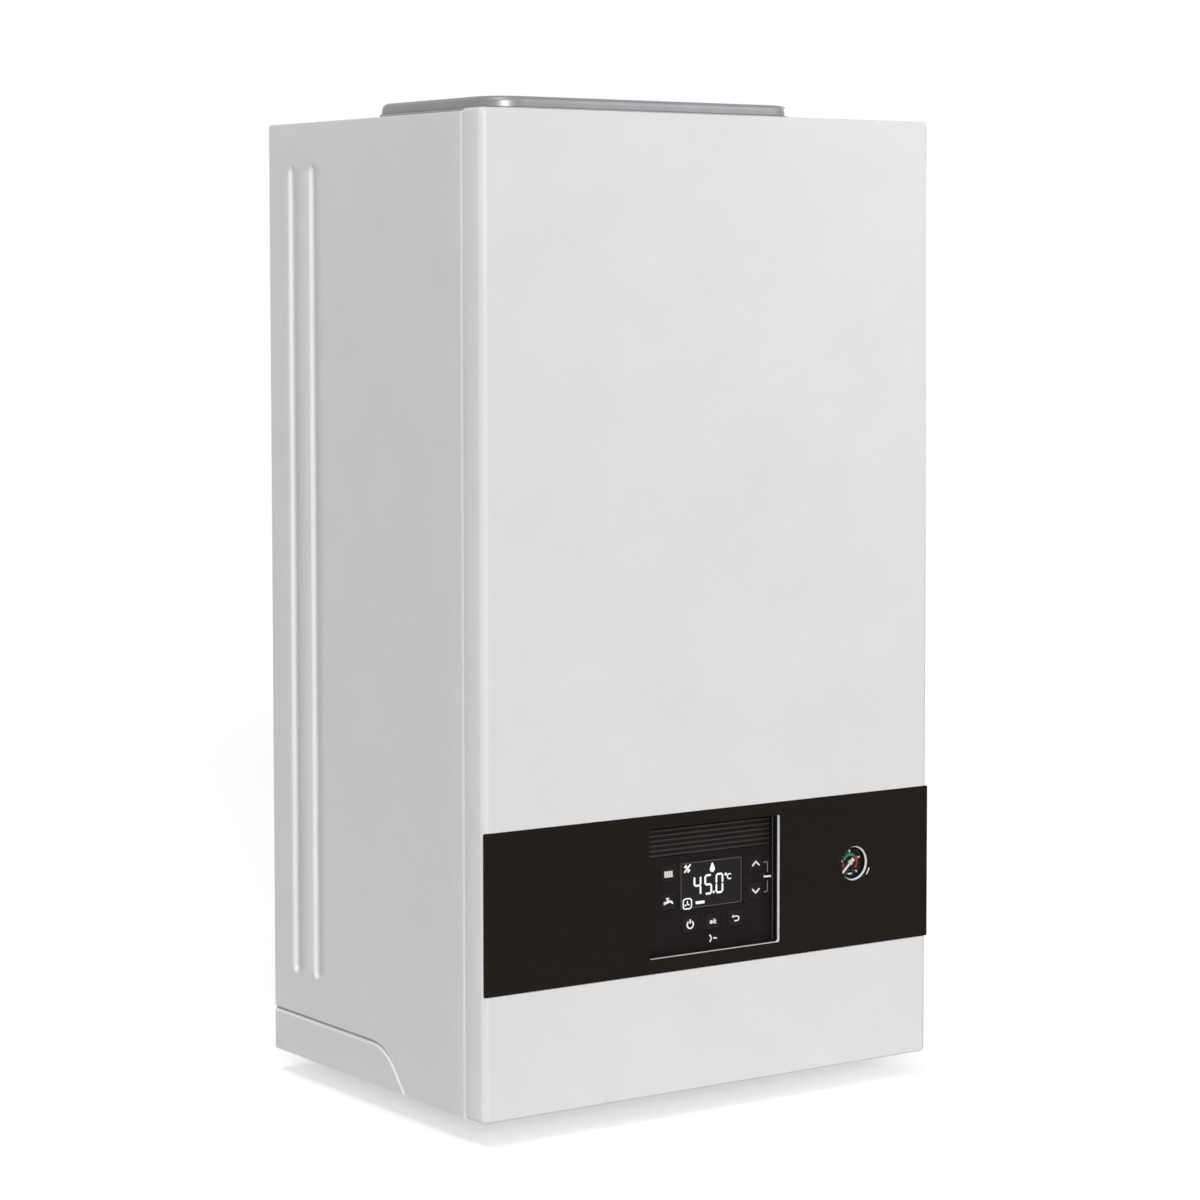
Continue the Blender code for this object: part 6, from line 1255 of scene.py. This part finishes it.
# Rolled stainless steel, brushed along its length
brushed = {"metallic": 1.0, "spread": 0.06, "stretch": (1, 1, 0.05)}
stainless = grained("brushed_stainless_steel", "BDBDBE", "A9A9AA", 0.28, 0.0006, 0.000004, **brushed)
coat_nodes(stainless, "heat_coil", "burner")
# Glazed ceramic, glossy, with hardly any grain
white_ceramic = grained("glazed_ceramic", "F0ECE2", "E8E4DA", 0.18, 0.0020, 0.000004, spread=0.03)
coat_nodes(white_ceramic, "ignition_electrode")


# Expansion vessel
# Two steel dishes are pressed, crimped together at a rim and painted red. A water port is welded into
# the middle of the front dish.

# Stoved red paint: smooth and half glossy, so the dish carries one broad highlight
vessel_paint = grained("red_vessel_paint", "A82822", "96221D", 0.38, 0.0014, 0.00001)
vessel_low, vessel_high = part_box("expansion_vessel")
vessel_radius = 0.1490
vessel_rim = 0.1527
dish_rise = 0.0186
dish_flat = 0.120
crimp_half = 0.0045
crimp_round = 0.0035
port_length = 0.010
port_radius = 0.0080
port_fillet = 0.0015
port_bore = 0.0058
vessel_rear, vessel_front = vessel_high.y, vessel_low.y + port_length
port_floor = vessel_front - 0.001
crimp = (vessel_rear + vessel_front) / 2
bulge = np.radians(np.linspace(0, 90, 13))
dish = [(dish_flat + (vessel_radius - dish_flat) * math.sin(a), dish_rise * (1 - math.cos(a))) for a in bulge]
vessel_profile = [(0, vessel_rear)] + [(r, vessel_rear - fall) for r, fall in dish]
vessel_profile += [(vessel_radius, crimp + crimp_half)]
vessel_profile += arc((vessel_rim - crimp_round, crimp), crimp_round, 75, -75, 8)
vessel_profile += [(vessel_radius, crimp - crimp_half)] + [(r, vessel_front + fall) for r, fall in dish[::-1]]
vessel_profile += [(port_radius + port_fillet, vessel_front), (port_radius, vessel_front - port_fillet)]
vessel_profile += [(port_radius, vessel_low.y), (port_bore, vessel_low.y)]
vessel_profile += [(port_bore, port_floor), (0, port_floor)]
vessel_look = (vessel_paint, "casing", "vessel_red", ["expansion_vessel"])
place_turned("vessel_dishes", vessel_profile, "Y", middle_of("expansion_vessel"), 128, *vessel_look)


# Fan, mixture duct and gas side
# The fan housing, the duct to the burner door and the gas valve are aluminium castings. The motor and
# the mixer are moulded nylon, and the gas pipe is bent steel tube, painted yellow.

# Glass-filled nylon: dull black with a slightly rough skin
black_nylon = grained("glass_filled_nylon", "1E1E1E", "171717", 0.52, 0.0009, 0.00002, spread=0.06, gloss=0.3)
# The yellow that marks a gas line, in a thick, half glossy coat
gas_paint = grained("yellow_gas_pipe_paint", "D8B23A", "C8A433", 0.40, 0.0012, 0.00001)
# Plain grey nylon, a little glossier than the filled one
impeller_plastic = grained("grey_impeller_nylon", "6E7072", "626466", 0.45, 0.0008, 0.00001)
for node in ("fan_housing", "mixture_duct", "gas_valve"):
    eased(node, "casting", cast_aluminium, "cast_aluminium", 0.0008)
eased("gas_mixer", "moulding", black_nylon, "black_plastic", 0.0006)
eased("gas_pipe", "tube", gas_paint, "gas_yellow", 0.0004)
coat_nodes(impeller_plastic, "fan_impeller")
eased("fan_motor", "moulding", black_nylon, "black_plastic", 0.0010)


# Hydraulics
# Water runs through a hot-pressed brass flow block, a moulded return block and drawn copper pipes. The
# plate heat exchanger is brazed stainless steel, and the red and blue knobs are push-on mouldings.

# Hot-pressed brass: yellow metal, dulled and uneven where scale was pickled off
brass_forging = grained(
    "hot_pressed_brass", "C9A257", "A98645", 0.38, 0.0012, 0.00003, metallic=0.95, spread=0.08
)
# Drawn copper: a bright, warm metal with fine streaks along the pipe
drawn = {"metallic": 1.0, "spread": 0.06, "stretch": (1, 1, 0.1)}
copper_tube = grained("drawn_copper_tube", "C97B52", "B0673F", 0.26, 0.0010, 0.000003, **drawn)
# Grey enamel on the pump's motor, half glossy
motor_paint = grained("grey_motor_paint", "5C6064", "52565A", 0.40, 0.0012, 0.00001)
# Coloured mouldings that mark the safety valve and the filling tap at a glance
red_knob = grained("red_knob_moulding", "B5231E", "A31E1A", 0.40, 0.0010, 0.00001)
blue_knob = grained("blue_knob_moulding", "1F4E9C", "1A438A", 0.40, 0.0010, 0.00001)
for node, kind, material, slot, edge in (
    ("air_vent", "turning", brass_forging, "brass", 0.0005),
    ("flow_block", "forging", brass_forging, "brass", 0.0007),
    ("return_block", "moulding", black_nylon, "black_plastic", 0.0007),
    ("plate_exchanger", "stack", stainless, "stainless", 0.0006),
    ("flow_pipe", "tube", copper_tube, "copper", 0.0004),
    ("return_pipe", "tube", copper_tube, "copper", 0.0004),
    ("diverter_motor", "moulding", black_nylon, "black_plastic", 0.0007),
    ("pump_housing", "moulding", black_nylon, "black_plastic", 0.0008),
    ("pump_motor", "can", motor_paint, "motor_grey", 0.0010),
    ("cable_gland", "moulding", black_nylon, "black_plastic", 0.0004),
):
    eased(node, kind, material, slot, edge)
eased("safety_valve_knob", "moulding", red_knob, "knob_red", 0.0005, body="safety_valve_knob_body")
eased("filling_tap_knob", "moulding", blue_knob, "knob_blue", 0.0005, body="filling_tap_knob_body")
coat_nodes(stainless, "diverter_stem")
coat_nodes(impeller_plastic, "pump_impeller")


# Condensate trap
# A bottle trap blown in natural polypropylene. Its lower part is a cup with a grip collar, and it
# hangs under the heat cell's drain.

# Uncoloured polypropylene: a cool, milky white with a waxy sheen
trap_plastic = grained("natural_polypropylene", "D5D8DA", "C9CDD0", 0.40, 0.0010, 0.00001, gloss=0.4)
trap_low, trap_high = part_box("condensate_trap")
trap_radius = 0.0282
cup_radius = 0.0294
cup_round = 0.006
cup_lip = 0.001
outlet_bore = 0.0090
outlet_radius = 0.0110
outlet_foot = 0.0130
inlet_bore = 0.0100
inlet_radius = 0.0125
trap_floor = trap_low.z + 0.072
cup_top = trap_floor + 0.046
trap_top = trap_floor + 0.175
shoulder = 0.009
trap_profile = [(outlet_bore, trap_low.z), (outlet_radius, trap_low.z)]
trap_profile += [(outlet_radius, trap_floor - cup_round), (outlet_foot, trap_floor)]
trap_profile += arc((cup_radius - cup_round, trap_floor + cup_round), cup_round, -90, 0, 8)
trap_profile += arc((cup_radius - cup_lip, cup_top - cup_lip), cup_lip, 0, 90, 4)
trap_profile += [(trap_radius, cup_top)]
trap_profile += arc((trap_radius - shoulder, trap_top - shoulder), shoulder, 0, 90, 10)
trap_profile += [(inlet_radius, trap_top), (inlet_radius, trap_high.z), (inlet_bore, trap_high.z)]
trap_profile += [(inlet_bore, trap_floor), (outlet_bore, trap_floor), (outlet_bore, trap_low.z)]
trap_look = (trap_plastic, "casing", "trap_white", ["condensate_trap"])
place_turned("trap_bottle", trap_profile, "Z", middle_of("condensate_trap", "xy"), 72, *trap_look)


# Control housing and its board
# The tilting housing and its lid are moulded trays that shut round the electronics behind the display.
# The board is glass fibre under green lacquer, with tinned tracks about two millimetres apart.

# Green lacquer over paler tracks, which shows as soft stripes of two greens
board_lacquer, tree, output, place = placed_material("green_board_lacquer")
wave_settings = {"Scale": 1 / 0.006, "Distortion": 12.0, "Detail": 1.0, "wave_profile": "SIN"}
tracks = add(tree, "ShaderNodeTexWave", wave_settings, {"Vector": place})
tint = mixed_colour(tree, share_of(tree, tracks.outputs["Fac"], 0.70, 0.76), "1C6B3C", "4E9A62")
shade(tree, output, {"Roughness": 0.35}, {"Base Color": tint})
coat_nodes(board_lacquer, "control_board")
# Plain black and grey mouldings that nobody sees in use, so their grain is coarser and duller
housing_plastic = grained(
    "black_housing_moulding", "2A2A2A", "232323", 0.50, 0.0010, 0.000020, spread=0.06, gloss=0.25
)
lid_plastic = grained("grey_lid_moulding", "7A7C7E", "707274", 0.50, 0.0010, 0.000020, spread=0.06, gloss=0.3)
eased("control_housing", "moulding", housing_plastic, "control_black", 0.0009, body="control_box")
eased("control_lid", "moulding", lid_plastic, "control_grey", 0.0005, body="control_box")

bpy.context.view_layer.update()
